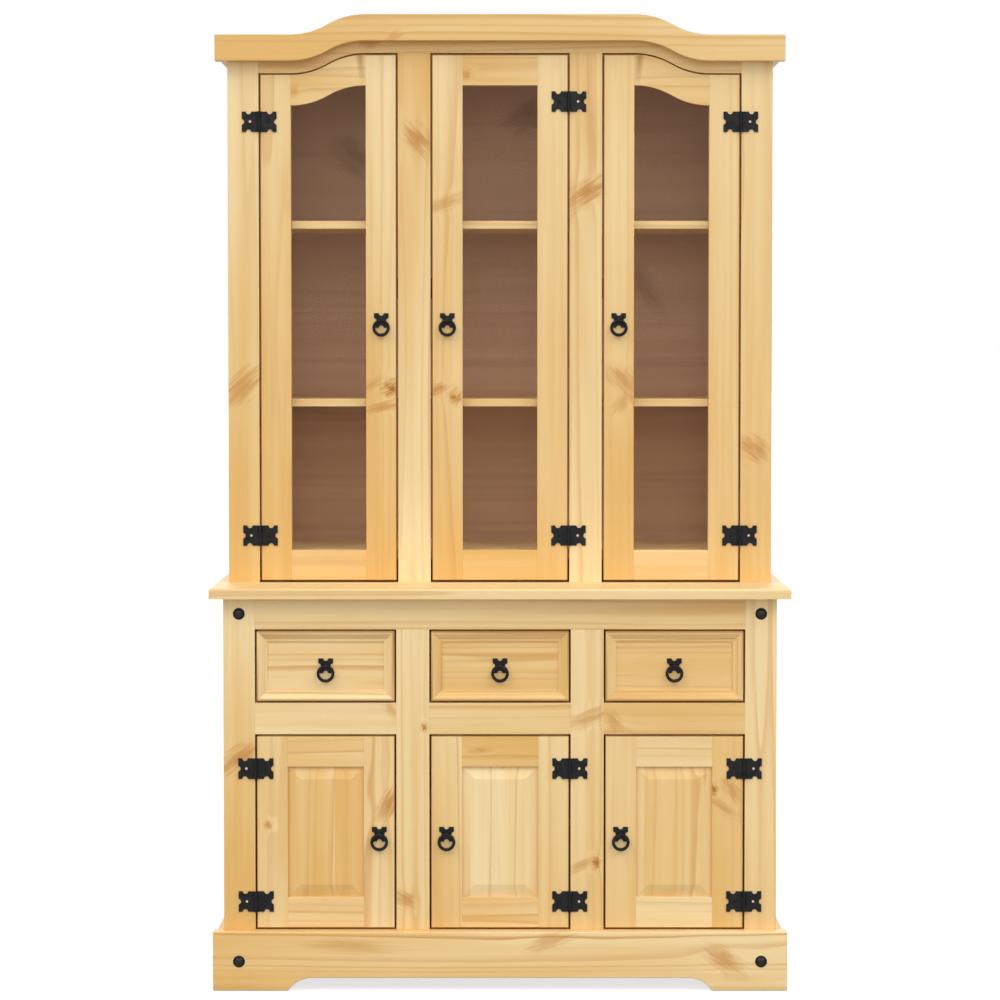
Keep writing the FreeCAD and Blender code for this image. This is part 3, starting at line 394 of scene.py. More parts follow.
def pine(name, pale, warm, late, knot, heart, roughness, wax):
    """Sawn pine under wax, from pale to warm boards, with darker late wood and knots."""
    material, bench, surface = new_material(name)
    board = bench.mark("board")[0]
    mark = core = halo = bend = 0.0
    for number in range(1, KNOTS_TO_A_BOARD + 1):
        spot = bench.group(
            KNOT_MARK,
            Board=board,
            Place=bench.mark(f"knot_{number}")[0],
            Size=bench.mark(f"knot_{number}_size")[0],
        )
        mark = bench.most(spot["Mark"], mark)
        core = bench.most(spot["Heart"], core)
        halo = bench.most(spot["Halo"], halo)
        bend = bench.add(spot["Bend"], bend)
    figure = bench.group(
        PINE_FIGURE, Board=board, Log=bench.mark("log")[0], Stave=bench.mark("stave")[0], Bend=bend
    )
    tone = bench.add(bench.mark("tone")[1], figure["Stave Tone"])
    drift = bench.add(
        bench.times(figure["Cloud"], CLOUD_WARMTH), bench.times(figure["Band"], BAND_WARMTH)
    )
    paler = bench.times(halo, HALO_PALENESS)
    warmth = bench.add(tone, bench.less(bench.less(drift, MEAN_WARMTH), paler))
    share = bench.times(bench.less(warmth, PALEST), 1.0 / (WARMEST - PALEST))
    colour = bench.mix(bench.stretch(share, 0.0, 1.0), pale, warm)
    colour = bench.mix(bench.times(figure["Ring"], bench.mark("grain")[1]), colour, late)
    colour = bench.mix(bench.times(figure["Streak"], STREAK_SHARE), colour, late)
    colour = bench.mix(bench.times(mark, KNOT_SHARE), colour, bench.mix(mark, late, knot))
    colour = bench.mix(core, colour, heart)
    colour = bench.mix(figure["Seam"], colour, heart)
    # Painted shade along the gaps: the eased edges at the rim of doors and drawers turn to the heart's dark brown
    colour = bench.mix(bench.times(bench.mark("rim")[1], GAP_SHADE_SHARE), colour, heart)
    fibre = bench.stretch(figure["Fibre"], FIBRE_DARK, FIBRE_LIGHT)
    colour = bench.mix(1.0, colour, bench.point(fibre, fibre, fibre), "MULTIPLY")
    bench.feed(surface.inputs["Base Color"], colour)
    rough = bench.stretch(figure["Fibre"], roughness - ROUGHNESS_SWING, roughness + ROUGHNESS_SWING)
    bench.feed(surface.inputs["Roughness"], rough)
    surface.inputs["Specular IOR Level"].default_value = PINE_GLOSS
    surface.inputs["Coat Weight"].default_value = wax
    surface.inputs["Coat Roughness"].default_value = WAX_ROUGHNESS
    height = bench.add(figure["Fibre"], bench.times(figure["Ring"], RING_HEIGHT_SHARE))
    bench.dent(surface, height, strength=GRAIN_STRENGTH, depth=GRAIN_DEPTH)
    return material


def black_iron(name, dark, pale, roughest, smoothest, gloss):
    """Iron under black paint, a little grainy, and paler and smoother where it is rubbed."""
    material, bench, surface = new_material(name)
    sand = bench.speckle(bumps_to_a_metre=900.0, detail=3.0, roughness=0.6)
    rubbed = bench.step(bench.speckle(bumps_to_a_metre=90.0, detail=3.0), *RUBBED_SHOWS)
    bench.feed(surface.inputs["Base Color"], bench.mix(rubbed, dark, pale))
    bench.feed(surface.inputs["Roughness"], bench.stretch(rubbed, roughest, smoothest))
    surface.inputs["Specular IOR Level"].default_value = gloss
    bench.dent(surface, sand, strength=0.35, depth=0.25 * MM)
    return material


def clear_glass():
    """Thin panes, a little wavy, that light goes through almost untouched."""
    material, bench, surface = new_material("clear_glass")
    bench.dent(surface, bench.speckle(bumps_to_a_metre=6.0, detail=1.0), strength=0.02, depth=MM)
    surface.inputs["Base Color"].default_value = shade(246, 250, 247)
    surface.inputs["Roughness"].default_value = 0.03
    surface.inputs["IOR"].default_value = 1.45
    surface.inputs["Transmission Weight"].default_value = 1.0
    surface.inputs["Alpha"].default_value = 0.12
    return material


def bright_zinc():
    """The plating of the screws that hold the frame's hinge leaves, and of the nails in the back."""
    material, bench, surface = new_material("bright_zinc")
    bloom = bench.speckle(bumps_to_a_metre=1400.0, detail=2.0)
    bench.feed(surface.inputs["Base Color"], bench.mix(bloom, shade(222, 206, 176), shade(192, 178, 152)))
    bench.feed(surface.inputs["Roughness"], bench.stretch(bloom, 0.25, 0.42))
    surface.inputs["Metallic"].default_value = 0.4
    return material


def brown_housing():
    """The moulded housings of the door catches, with the fine sparkle of the mould left on them."""
    material, bench, surface = new_material("brown_housing")
    grit = bench.speckle(bumps_to_a_metre=1100.0, detail=2.0)
    bench.feed(surface.inputs["Base Color"], bench.mix(grit, shade(104, 74, 48), shade(128, 94, 62)))
    bench.feed(surface.inputs["Roughness"], bench.stretch(grit, 0.42, 0.6))
    bench.dent(surface, grit, strength=0.2, depth=0.1 * MM)
    return material


WAXED_PINE = pine(
    "waxed_pine",
    pale=shade(247, 221, 168),
    warm=shade(229, 183, 107),
    late=shade(208, 152, 78),
    knot=shade(192, 124, 46),
    heart=shade(154, 97, 40),
    roughness=0.45,
    wax=0.08,
)
# Browner than the waxed pine: partly the back boards' own colour, partly painted shade for the inside of the hutch
# seen through the glass
PINE_BACKING = pine(
    "pine_backing",
    pale=shade(216, 175, 138),
    warm=shade(194, 153, 117),
    late=shade(160, 118, 88),
    knot=shade(134, 96, 70),
    heart=shade(100, 68, 50),
    roughness=0.6,
    wax=0.0,
)
BLACK_IRON = black_iron(
    "black_iron", dark=shade(13, 13, 14), pale=shade(27, 27, 29), roughest=0.5, smoothest=0.36, gloss=0.18
)
STUD_IRON = black_iron(
    "stud_iron", dark=shade(6, 6, 7), pale=shade(14, 14, 16), roughest=0.3, smoothest=0.2, gloss=0.3
)
CLEAR_GLASS = clear_glass()
BRIGHT_ZINC = bright_zinc()
BROWN_HOUSING = brown_housing()


# Dressing the boards: each solid of a node gets eased edges, and its place in the log is written on it

# Points this close are one point, and points this close to a line lie on it
WELD = 1e-6
ON_LINE = 10 * WELD

# Faces that meet flatter than this become one, edges that turn more than this are eased, and those that turn
# more than this are shaded sharp, on mouldings sooner than elsewhere
FLAT_ANGLE = math.radians(0.5)
EASED_ANGLE = math.radians(25)
SHARP_ANGLE = math.radians(40)
MOULDED_ANGLE = math.radians(8)

# How far edges are eased: round the rim of a door or drawer, on the boards' own edges, and on iron
RIM_ARRIS = 2.0 * MM
FINE_ARRIS = 0.5 * MM
JOINT_ARRIS = 0.7 * MM
ARRIS = 0.9 * MM
SOFT_ARRIS = 2.0 * MM
IRON_ARRIS = 0.5 * MM
ARRIS_STEPS = 3

# How far the painted shade of the gaps reaches back from the front, and in from the rim's lines
GAP_SHADE_DEPTH = 1.5 * RIM_ARRIS
GAP_SHADE_WIDTH = 0.8 * RIM_ARRIS

# What chance decides, from least to most: where a board lay in the log,
# and how warm it is where no tone is listed
LOG_SHIFTS = (5, 60)
PITH_ACROSS_SHARES = (0.35, 1.7)
PITH_DEPTHS = (0.03, 0.11)
NARROWEST_BOARD = 60 * MM
CHANCE_TONES = (-0.5, 0.7)

# Knots left to chance: where they lie, as shares of the board,
# and their lean, half sizes in mm and strength
KNOTS_TO_A_METRE = 1.6
ALONG_SHARES = (-0.45, 0.45)
ACROSS_SHARES = (-0.4, 0.4)
LEANS = (0.2, 2.9)
HALF_LENGTHS = (8, 26)
HALF_WIDTHS = (4, 9)
STRENGTHS = (0.35, 0.9)

# A knot of no strength, and a stave that is wider than any board
NO_KNOT = ((0.0, 0.0, 0.0), (1.0, 1.0, 0.0))
NO_STAVES = (50.0, 0.0, 0.0)

# Nodes whose knots are listed, as seen from the front: the others get theirs by chance
FRONT_NODES = {
    "base_face_stiles", "base_face_rails", "base_top", "plinth_front", "cornice_front", "hutch_face_stiles",
    "hutch_frieze_rail", "hutch_back_panel",
    *(f"drawer_{bay}_front" for bay in BAYS),
    *(f"base_door_{bay}_{part}" for bay in BAYS for part in ("frame", "panel")),
    *(f"hutch_door_{bay}_frame" for bay in BAYS),
}

# Wide boards are glued up from staves: how wide they are in metres, how far the first is off the middle,
# and how dark the seams show
STAVES = {
    "base_top": (0.088, 0.0, 0.0), "base_sides": (0.095, 0.0, 0.0), "base_partitions": (0.095, 0.0, 0.0),
    "base_floor": (0.095, 0.0, 0.0), "base_shelves": (0.09, 0.0, 0.0), "hutch_sides": (0.09, 0.0, 0.0),
    "hutch_floor": (0.09, 0.0, 0.0), "hutch_roof": (0.09, 0.0, 0.0), "hutch_shelves": (0.085, 0.0, 0.0),
    "base_back_panel": (0.15, 0.0, 0.5), "hutch_back_panel": (0.194, 0.097, 0.15),
    **{f"base_door_{bay}_panel": (0.075, 0.02, 0.0) for bay in BAYS},
}

# How strongly the late wood shows, where it isn't faint
FAINT_GRAIN = 0.5
GRAIN = {
    "plinth_front": 1.0, "plinth_sides": 0.8, "base_top": 0.75, "base_face_rails": 0.8, "base_sides": 0.6,
    "hutch_sides": 0.6, "base_back_panel": 0.55, "hutch_back_panel": 0.4, "cornice_front": 0.9,
    "hutch_face_stiles": 0.6, "hutch_frieze_rail": 0.65,
    **{f"drawer_{bay}_front": 0.85 for bay in BAYS},
    **{f"base_door_{bay}_{part}": 0.7 for bay in BAYS for part in ("frame", "panel")},
}

# The way of the grain, where a board's longest side doesn't decide it
GRAIN_WAYS = {panel: ALONG_X for panel in BACK_PANELS}

# How warm the front boards are: node, a point on the board across and up in mm, and its warmth at the left
# or low end and at the right or high end, where below 0 is pale and above 1 is orange. A board that no row
# points at takes the first warmth of its node's last row
TONES = (
    # The left stile's low end is warmer partly as painted shade, against the light thrown up from the base top
    ("hutch_face_stiles", -505, 1300, 1.7, -0.8),
    ("hutch_face_stiles", -169, 1300, -1.6, 1.8),
    ("hutch_face_stiles", 169, 1300, -1.0, 0.8),
    ("hutch_face_stiles", 505, 1300, 1.3, -0.9),
    ("hutch_door_left_frame", -441, 1200, 1.5, 0.2),
    ("hutch_door_left_frame", -233, 1200, 2.4, -0.8),
    ("hutch_door_left_frame", -337, 815, 0.9, 0.9),
    ("hutch_door_left_frame", -337, 1765, 1.1, 0.2),
    ("hutch_door_middle_frame", -104, 1200, 1.7, -0.4),
    ("hutch_door_middle_frame", 104, 1200, 1.4, -0.6),
    ("hutch_door_middle_frame", 0, 815, 1.3, 1.7),
    ("hutch_door_middle_frame", 0, 1770, 1.3, 0.7),
    ("hutch_door_right_frame", 233, 1200, 1.7, -0.2),
    ("hutch_door_right_frame", 441, 1200, 0.9, 0.2),
    ("hutch_door_right_frame", 337, 815, 0.2, 0.3),
    ("hutch_door_right_frame", 337, 1765, 0.9, 1.1),
    ("hutch_frieze_rail", 0, 1795, 1.3, 0.9),
    ("cornice_front", 0, 1860, 2.2, 0.6),
    ("base_top", 0, 770, -0.1, -0.3),
    ("base_face_stiles", -505, 430, 2.4, -0.9),
    ("base_face_stiles", -169, 400, 0.5, -1.0),
    ("base_face_stiles", 169, 400, 0.9, -0.6),
    ("base_face_stiles", 505, 430, 0.6, -0.8),
    ("base_face_rails", 0, 730, -0.5, 0.7),
    ("base_face_rails", -337, 526, -0.6, 0.0),
    ("base_face_rails", 0, 526, 0.3, 0.5),
    ("base_face_rails", 337, 526, 1.0, 1.1),
    ("drawer_left_front", -337, 628, -0.3, 0.2),
    ("drawer_middle_front", 0, 628, 1.1, 1.2),
    ("drawer_right_front", 337, 628, 0.9, 1.2),
    ("base_door_left_frame", -441, 300, 0.3, 0.5),
    ("base_door_left_frame", -233, 300, -0.3, -0.2),
    ("base_door_left_frame", -337, 463, 0.5, 0.5),
    ("base_door_left_frame", -337, 148, 0.0, 0.2),
    ("base_door_left_panel", -337, 300, 1.0, 0.7),
    ("base_door_middle_frame", -104, 300, 1.2, 0.0),
    ("base_door_middle_frame", 104, 300, 0.7, -0.1),
    ("base_door_middle_frame", 0, 463, 1.3, 1.3),
    ("base_door_middle_frame", 0, 148, 1.0, 0.7),
    ("base_door_middle_panel", 0, 300, -1.0, -1.2),
    ("base_door_right_frame", 233, 300, 0.7, -0.1),
    ("base_door_right_frame", 441, 300, 1.5, 0.9),
    ("base_door_right_frame", 337, 463, -0.5, -0.5),
    ("base_door_right_frame", 337, 148, -0.4, -0.6),
    ("base_door_right_panel", 337, 300, 0.3, 0.2),
    ("plinth_front", 0, 80, 0.9, -0.6),
    # The shelves' warmer tone is partly painted shade, darkening their front edges inside the glazed hutch
    ("hutch_shelves", 0, 0, 0.8, 0.8),
)

# Knots and flames: node, place across and up in mm, half length, half width, tilt in degrees, strength
KNOTS = (
    ("hutch_back_panel", -305, 1637, 34, 22, -40, 0.6),
    ("hutch_back_panel", 62, 1726, 30, 20, 20, 0.6),
    ("hutch_back_panel", 296, 1372, 44, 16, -55, 0.5),
    ("hutch_face_stiles", -160, 1650, 24, 14, -50, 0.82),
    ("hutch_face_stiles", 168, 1546, 34, 14, 33, 0.87),
    ("hutch_face_stiles", 177, 1690, 95, 8, 92, 0.47),
    ("hutch_face_stiles", -510, 1165, 34, 15, 43, 0.72),
    ("hutch_face_stiles", 497, 1044, 19, 15, -35, 0.72),
    ("hutch_door_middle_frame", -106, 1528, 29, 8, 20, 0.62),
    ("hutch_door_middle_frame", -67, 1779, 8, 8, 0, 0.72),
    ("hutch_door_middle_frame", -126, 1161, 15, 8, 20, 0.82),
    ("hutch_door_middle_frame", -89, 1145, 9, 9, 45, 0.97),
    ("hutch_door_left_frame", -406, 1746, 8, 9, 0, 0.57),
    ("hutch_door_left_frame", -215, 1163, 12, 12, 25, 1.0),
    ("hutch_door_left_frame", -233, 1127, 27, 6, 15, 0.72),
    ("hutch_door_left_frame", -250, 1172, 15, 6, 40, 0.62),
    ("hutch_door_right_frame", 244, 1171, 25, 14, -50, 0.72),
    ("hutch_door_right_frame", 241, 1137, 17, 9, 60, 0.57),
    ("hutch_frieze_rail", -256, 1838, 15, 9, 10, 0.62),
    ("cornice_front", -206, 1850, 11, 6, 40, 0.52),
    ("base_face_stiles", -506, 451, 32, 12, 35, 0.77),
    ("base_face_stiles", -147, 509, 4, 6, 0, 1.0),
    ("base_face_stiles", -184, 174, 17, 10, -30, 0.77),
    ("base_face_stiles", 170, 528, 29, 9, 20, 0.67),
    ("base_face_stiles", 186, 245, 6, 9, 0, 1.0),
    ("base_face_stiles", 155, 239, 23, 6, 25, 0.62),
    ("base_face_rails", -211, 541, 13, 6, -55, 0.57),
    ("base_face_rails", 219, 522, 15, 9, -50, 0.62),
    ("base_door_left_frame", -217, 357, 25, 12, 62, 0.87),
    ("base_door_left_frame", -449, 319, 6, 6, 60, 0.87),
    ("base_door_middle_frame", -37, 465, 15, 4, 5, 0.62),
    ("base_door_right_frame", 413, 388, 6, 8, 0, 1.0),
    ("base_door_right_frame", 451, 384, 19, 8, -55, 0.72),
    ("base_door_right_frame", 430, 354, 23, 6, -35, 0.62),
    ("plinth_front", -283, 87, 62, 8, -3, 0.52),
    ("plinth_front", 432, 62, 27, 14, -30, 0.72),
    ("plinth_front", 100, 99, 29, 10, 15, 0.62),
)


def solids_of(node):
    """The node's solids, each a list of faces that closes on itself, in the order its mesh holds them."""
    mesh = frame["nodes"][node].data
    places = [tuple(round(c / WELD) for c in vertex.co) for vertex in mesh.vertices]
    solids = []
    faces = []
    loose_edges = set()
    for polygon in mesh.polygons:
        corners = [places[index] for index in polygon.vertices]
        faces.append(corners)
        for pair in zip(corners, corners[1:] + corners[:1]):
            if pair[0] != pair[1]:
                loose_edges ^= {frozenset(pair)}
        if not loose_edges:
            solids.append(faces)
            faces = []
    return solids


def eased_solid(faces, arris, rim=()):
    """One solid as a mesh with its triangles merged into whole faces and its outer edges eased, those on
    the rim's lines more than the rest."""
    work = bmesh.new()
    corner_of = {}
    for corners in faces:
        if len(set(corners)) < 3:
            continue
        for place in corners:
            if place not in corner_of:
                corner_of[place] = work.verts.new([c * WELD for c in place])
        work.faces.new([corner_of[place] for place in corners])
    bmesh.ops.dissolve_limit(work, angle_limit=FLAT_ANGLE, verts=work.verts, edges=work.edges)

    def on_rim(edge):
        return any(
            all(abs(vertex.co[way] - line) < ON_LINE for vertex in edge.verts) for way, line in rim
        )

    def ease(offset, wanted):
        outer = [
            edge for edge in work.edges
            if edge.is_manifold and edge.calc_face_angle_signed() > EASED_ANGLE and wanted(edge)
        ]
        if outer and offset > 0:
            bmesh.ops.bevel(
                work, geom=outer, offset=offset, offset_type="OFFSET", segments=ARRIS_STEPS, profile=0.5,
                affect="EDGES", clamp_overlap=True,
            )

    ease(RIM_ARRIS, on_rim)
    ease(arris, lambda edge: not on_rim(edge))
    work.verts.index_update()
    points = [vertex.co.copy() for vertex in work.verts]
    polygons = [[vertex.index for vertex in face.verts] for face in work.faces]
    work.free()
    return points, polygons


def board_tone(node, low, high, chance):
    """How warm a board is at its two ends. One that no row points at is as its node's last row begins."""
    start = end = chance.uniform(*CHANCE_TONES)
    for name, x, z, first, last in TONES:
        if name == node:
            start = end = first
            if low.x <= x * MM <= high.x and low.z <= z * MM <= high.z:
                return first, last
    return start, end


def listed_knots(node, low, high, along, across):
    """The listed knots that lie on a board: place in it and lean, then half sizes and strength."""
    centre = (low + high) / 2
    spots = []
    for name, x, z, half_length, half_width, tilt, strength in KNOTS:
        place = Vector((x * MM, centre.y, z * MM))
        if name == node and all(low[way] <= place[way] <= high[way] for way in range(3)):
            turn = math.radians(tilt)
            ways = (math.cos(turn), 0.0, math.sin(turn))
            lean = math.atan2(ways[across], ways[along])
            spot = (place[along] - centre[along], place[across] - centre[across], lean)
            spots.append((spot, (half_length * MM, half_width * MM, strength)))
    return spots


def chance_knots(length, width, chance):
    """Knots left to chance, more of them on a longer board."""
    spots = []
    for _ in range(min(KNOTS_TO_A_BOARD, int(length * KNOTS_TO_A_METRE + chance.random()))):
        spot = (
            chance.uniform(*ALONG_SHARES) * length,
            chance.uniform(*ACROSS_SHARES) * width,
            chance.uniform(*LEANS),
        )
        extent = (
            chance.uniform(*HALF_LENGTHS) * MM,
            chance.uniform(*HALF_WIDTHS) * MM,
            chance.uniform(*STRENGTHS),
        )
        spots.append((spot, extent))
    return spots


def board_marks(node, number, points):
    """What the pine shader needs to know of a board: place and tone for each point, and the rest once."""
    low = Vector(map(min, zip(*points)))
    high = Vector(map(max, zip(*points)))
    centre = (low + high) / 2
    size = high - low
    order = sorted(range(3), key=lambda way: -size[way])
    if node in GRAIN_WAYS:
        order.remove(GRAIN_WAYS[node])
        order.insert(0, GRAIN_WAYS[node])
    along, across, deep = order
    length, width = size[along], size[across]
    chance = random.Random(f"{node} {number}")
    marks = {
        "log": (
            chance.uniform(*LOG_SHIFTS),
            chance.choice((-1, 1)) * chance.uniform(*PITH_ACROSS_SHARES) * max(width, NARROWEST_BOARD),
            chance.choice((-1, 1)) * chance.uniform(*PITH_DEPTHS),
        ),
        "stave": STAVES.get(node, NO_STAVES),
        "grain": GRAIN.get(node, FAINT_GRAIN),
    }
    start, end = board_tone(node, low, high, chance)
    if node in FRONT_NODES:
        spots = listed_knots(node, low, high, along, across)
    else:
        spots = chance_knots(length, width, chance)
    spots += [NO_KNOT] * KNOTS_TO_A_BOARD
    for index, (spot, extent) in enumerate(spots[:KNOTS_TO_A_BOARD], start=1):
        marks[f"knot_{index}"] = spot
        marks[f"knot_{index}_size"] = extent
    places = [
        (point[along] - centre[along], point[across] - centre[across], point[deep] - centre[deep])
        for point in points
    ]
    tones = [start + (end - start) * (place[0] / length + 0.5) for place in places]
    return places, tones, marks


def gap_shade_marks(points, rim, front):
    """1.0 on the eased front edge along the rim's lines, where the shade of the gaps is painted, and 0.0
    elsewhere.
    """
    return [
        float(
            point.y < front + GAP_SHADE_DEPTH
            and any(abs(point[way] - line) < GAP_SHADE_WIDTH for way, line in rim)
        )
        for point in points
    ]


def new_piece(name, points, polygons, material, sharp=SHARP_ANGLE):
    """A piece in the scene, smooth but for edges sharper than the angle."""
    mesh = bpy.data.meshes.new(name)
    mesh.from_pydata(points, [], polygons)
    mesh.shade_smooth()
    mesh.set_sharp_from_angle(angle=sharp)
    mesh.materials.append(material)
    piece = bpy.data.objects.new(name, mesh)
    bpy.context.scene.collection.objects.link(piece)
    even = piece.modifiers.new("even shading", "WEIGHTED_NORMAL")
    even.keep_sharp = True
    return piece


def write_marks(mesh, name, values):
    """Writes a number or a vector on each point of a mesh, for its shader to read."""
    flat = isinstance(values[0], float)
    layer = mesh.attributes.new(name, "FLOAT" if flat else "FLOAT_VECTOR", "POINT")
    if flat:
        layer.data.foreach_set("value", values)
    else:
        layer.data.foreach_set("vector", [number for value in values for number in value])


def stand_for(piece, node):
    """The piece rides on the node's body and is shown in the node's place, the node being hidden."""
    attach(piece, BODY_OF[node])
    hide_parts(node)


def dress_boards(node, material, arris, rimmed=False, sharp=SHARP_ANGLE):
    """A piece that stands for a node of boards, with edges eased and each board's grain written on it."""
    low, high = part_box(node)
    rim = [(way, corner[way]) for way in (ALONG_X, ALONG_Z) for corner in (low, high)] if rimmed else []
    points = []
    polygons = []
    written = {}
    for number, faces in enumerate(solids_of(node)):
        solid_points, solid_polygons = eased_solid(faces, arris, rim)
        polygons += [[len(points) + index for index in polygon] for polygon in solid_polygons]
        points += solid_points
        places, tones, marks = board_marks(node, number, solid_points)
        written.setdefault("board", []).extend(places)
        written.setdefault("tone", []).extend(tones)
        # The rim mark, painted shade of the gaps, is written on each point
        written.setdefault("rim", []).extend(gap_shade_marks(solid_points, rim, low[ALONG_Y]))
        for name, value in marks.items():
            written.setdefault(name, []).extend([value] * len(solid_points))
    piece = new_piece(f"{node}_boards", points, polygons, material, sharp)
    for name, values in written.items():
        write_marks(piece.data, name, values)
    stand_for(piece, node)


PINE_NODES = {
    "base_top": FINE_ARRIS,
    "base_sides": ARRIS,
    "base_partitions": ARRIS,
    "base_floor": ARRIS,
    "base_face_stiles": FINE_ARRIS,
    "base_face_rails": FINE_ARRIS,
    "base_shelves": ARRIS,
    "drawer_runners": ARRIS,
    "plinth_front": SOFT_ARRIS,
    "plinth_sides": SOFT_ARRIS,
    "hutch_sides": ARRIS,
    "hutch_floor": ARRIS,
    "hutch_roof": ARRIS,
    "hutch_face_stiles": FINE_ARRIS,
    "hutch_frieze_rail": FINE_ARRIS,
    "cornice_front": ARRIS,
    "cornice_sides": ARRIS,
    "hutch_shelves": ARRIS,
}
RIMMED_NODES = set()
MOULDED_NODES = set()
for bay in BAYS:
    PINE_NODES[f"drawer_{bay}_front"] = FINE_ARRIS
    PINE_NODES[f"drawer_{bay}_box"] = ARRIS
    PINE_NODES[f"base_door_{bay}_frame"] = JOINT_ARRIS
    PINE_NODES[f"base_door_{bay}_panel"] = FINE_ARRIS
    PINE_NODES[f"hutch_door_{bay}_frame"] = JOINT_ARRIS
    RIMMED_NODES |= {f"drawer_{bay}_front", f"base_door_{bay}_frame", f"hutch_door_{bay}_frame"}
    MOULDED_NODES |= {f"drawer_{bay}_front", f"base_door_{bay}_panel"}
for node, arris in PINE_NODES.items():
    sharp = MOULDED_ANGLE if node in MOULDED_NODES else SHARP_ANGLE
    dress_boards(node, WAXED_PINE, arris, node in RIMMED_NODES, sharp)
for node in BACK_PANELS:
    dress_boards(node, PINE_BACKING, ARRIS)


# The iron: castings as they are in the frame, and rings, studs and fixings turned or forged here


def dress_castings(node, material):
    """A piece that stands for a node of castings, with their edges rubbed round."""
    points = []
    polygons = []
    for faces in solids_of(node):
        solid_points, solid_polygons = eased_solid(faces, IRON_ARRIS)
        polygons += [[len(points) + index for index in polygon] for polygon in solid_polygons]
        points += solid_points
    stand_for(new_piece(f"{node}_castings", points, polygons, material), node)


dress_castings("frame_hinge_leaves", BLACK_IRON)
dress_castings("door_catches", BROWN_HOUSING)
for door in DOORS:
    dress_castings(f"{door}_fittings", BLACK_IRON)
for drawer in DRAWERS:
    dress_castings(f"{drawer}_pull_plate", BLACK_IRON)


class Smithy:
    """Gathers small turned and forged shapes into the points and faces of one piece."""

    def __init__(self):
        self.points = []
        self.polygons = []

    def loft(self, loops, closed=False):
        """Skins rows of points, each row a closed loop; ends are capped, or joined where closed."""
        first = len(self.points)
        count = len(loops[0])
        for loop in loops:
            self.points += loop
        rows = len(loops) if closed else len(loops) - 1
        for row in range(rows):
            here = first + row * count
            there = first + (row + 1) % len(loops) * count
            for index in range(count):
                after = (index + 1) % count
                self.polygons.append((here + index, here + after, there + after, there + index))
        if not closed:
            self.polygons.append(tuple(reversed(range(first, first + count))))
            last = first + (len(loops) - 1) * count
            self.polygons.append(tuple(range(last, last + count)))

    def turn(self, place, profile, sides, drive=0.0, facing=1):
        """Turns a profile of radius and height in mm round an axis that points to the front, or to the back
        where facing is -1. The two innermost rings are drawn in to a cross by drive."""
        x, y, z = place
        loops = []
        for number, (radius, height) in enumerate(profile):
            loop = []
            for index in range(sides):
                angle = 2 * math.pi * index / sides
                cross = 1.0
                if number >= len(profile) - 2:
                    cross -= drive * abs(math.sin(2 * angle)) ** 0.5
                loop.append((
                    x + facing * radius * cross * math.cos(angle) * MM,
                    y - facing * height * MM,
                    z + radius * cross * math.sin(angle) * MM,
                ))
            loops.append(loop)
        self.loft(loops)

    def piece(self, name, material):
        return new_piece(name, self.points, self.polygons, material)

    def fasten(self, name, body, material):
        """Makes the piece and fastens it to a body."""
        piece = self.piece(name, material)
        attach(piece, body)


# Turned profiles, from the rim to the middle: radius and height in mm
STUD = (
    (11.5, 0.0), (11.5, 0.5), (11.2, 1.0), (10.6, 1.3), (9.9, 1.3), (9.4, 0.6), (9.1, 0.7), (8.6, 2.0),
    (7.6, 3.3), (6.2, 4.3), (4.5, 4.8), (2.6, 4.97), (0.9, 5.0),
)
SCREW = ((2.5, -0.4), (2.5, 0.1), (2.35, 0.45), (2.0, 0.75), (1.6, 0.9), (1.45, 0.88), (0.7, 0.2))
NAIL = ((2.6, -0.3), (2.6, 0.2), (2.3, 0.45), (1.3, 0.6), (0.6, 0.5))
PIN = ((1.7, -0.4), (1.7, 0.1), (1.5, 0.5), (1.05, 0.8), (0.5, 0.95))
SCREW_DRIVE = 0.55

# Where the fixings lie, from the axes of the hinges and rings
PLATE_THICK = 2 * MM
AXIS_STANDOFF = 3.8 * MM
RING_STANDOFF = 8 * MM
SCREW_FROM_AXIS = 18 * MM
PIN_SIDE = 7.8 * MM
PIN_RISE = 7.9 * MM

# A ring pull: its outer radius, how far its middle hangs below its axis, and half its section
RING_RADIUS = 17.2 * MM
RING_DROP = 14.7 * MM
RING_HALF_WIDTH = 2.6 * MM
RING_HALF_EXTRA = 0.6 * MM
RING_HALF_DEPTH = 2.5 * MM
RING_STEPS = 56
RING_SIDES = 12

JOINT_PLACES = {joint["name"]: joint.get("pos_m") for joint in frame["joints"]}


def middle_of(faces):
    """The middle of the box round a solid."""
    places = [place for corners in faces for place in corners]
    return [(min(values) + max(values)) / 2 * WELD for values in zip(*places)]


def turned_studs():
    """The four domed studs in the corners of the base, each on the face that its solid sits on."""
    studs = Smithy()
    for faces in solids_of("corner_studs"):
        x, _, z = middle_of(faces)
        back = max(place[ALONG_Y] for corners in faces for place in corners) * WELD
        studs.turn((x, back, z), STUD, sides=32)
    stand_for(studs.piece("corner_studs_turned", STUD_IRON), "corner_studs")


def forged_ring(owner):
    """A hanging ring, a little heavier at the bottom than where it passes through the lug."""
    x, pivot_y, pivot_z = JOINT_PLACES[f"{owner}_ring_swing"]
    centre = pivot_z - RING_DROP
    loops = []
    for step in range(RING_STEPS):
        angle = 2 * math.pi * step / RING_STEPS
        low = (1 - math.sin(angle)) / 2
        half_width = RING_HALF_WIDTH + RING_HALF_EXTRA * low
        loop = []
        for side in range(RING_SIDES):
            turn = 2 * math.pi * side / RING_SIDES
            radius = RING_RADIUS - half_width + half_width * math.cos(turn)
            loop.append((
                x + radius * math.cos(angle),
                pivot_y + RING_HALF_DEPTH * math.sin(turn),
                centre + radius * math.sin(angle),
            ))
        loops.append(loop)
    ring = Smithy()
    ring.loft(loops, closed=True)
    stand_for(ring.piece(f"{owner}_ring_forged", BLACK_IRON), f"{owner}_ring")


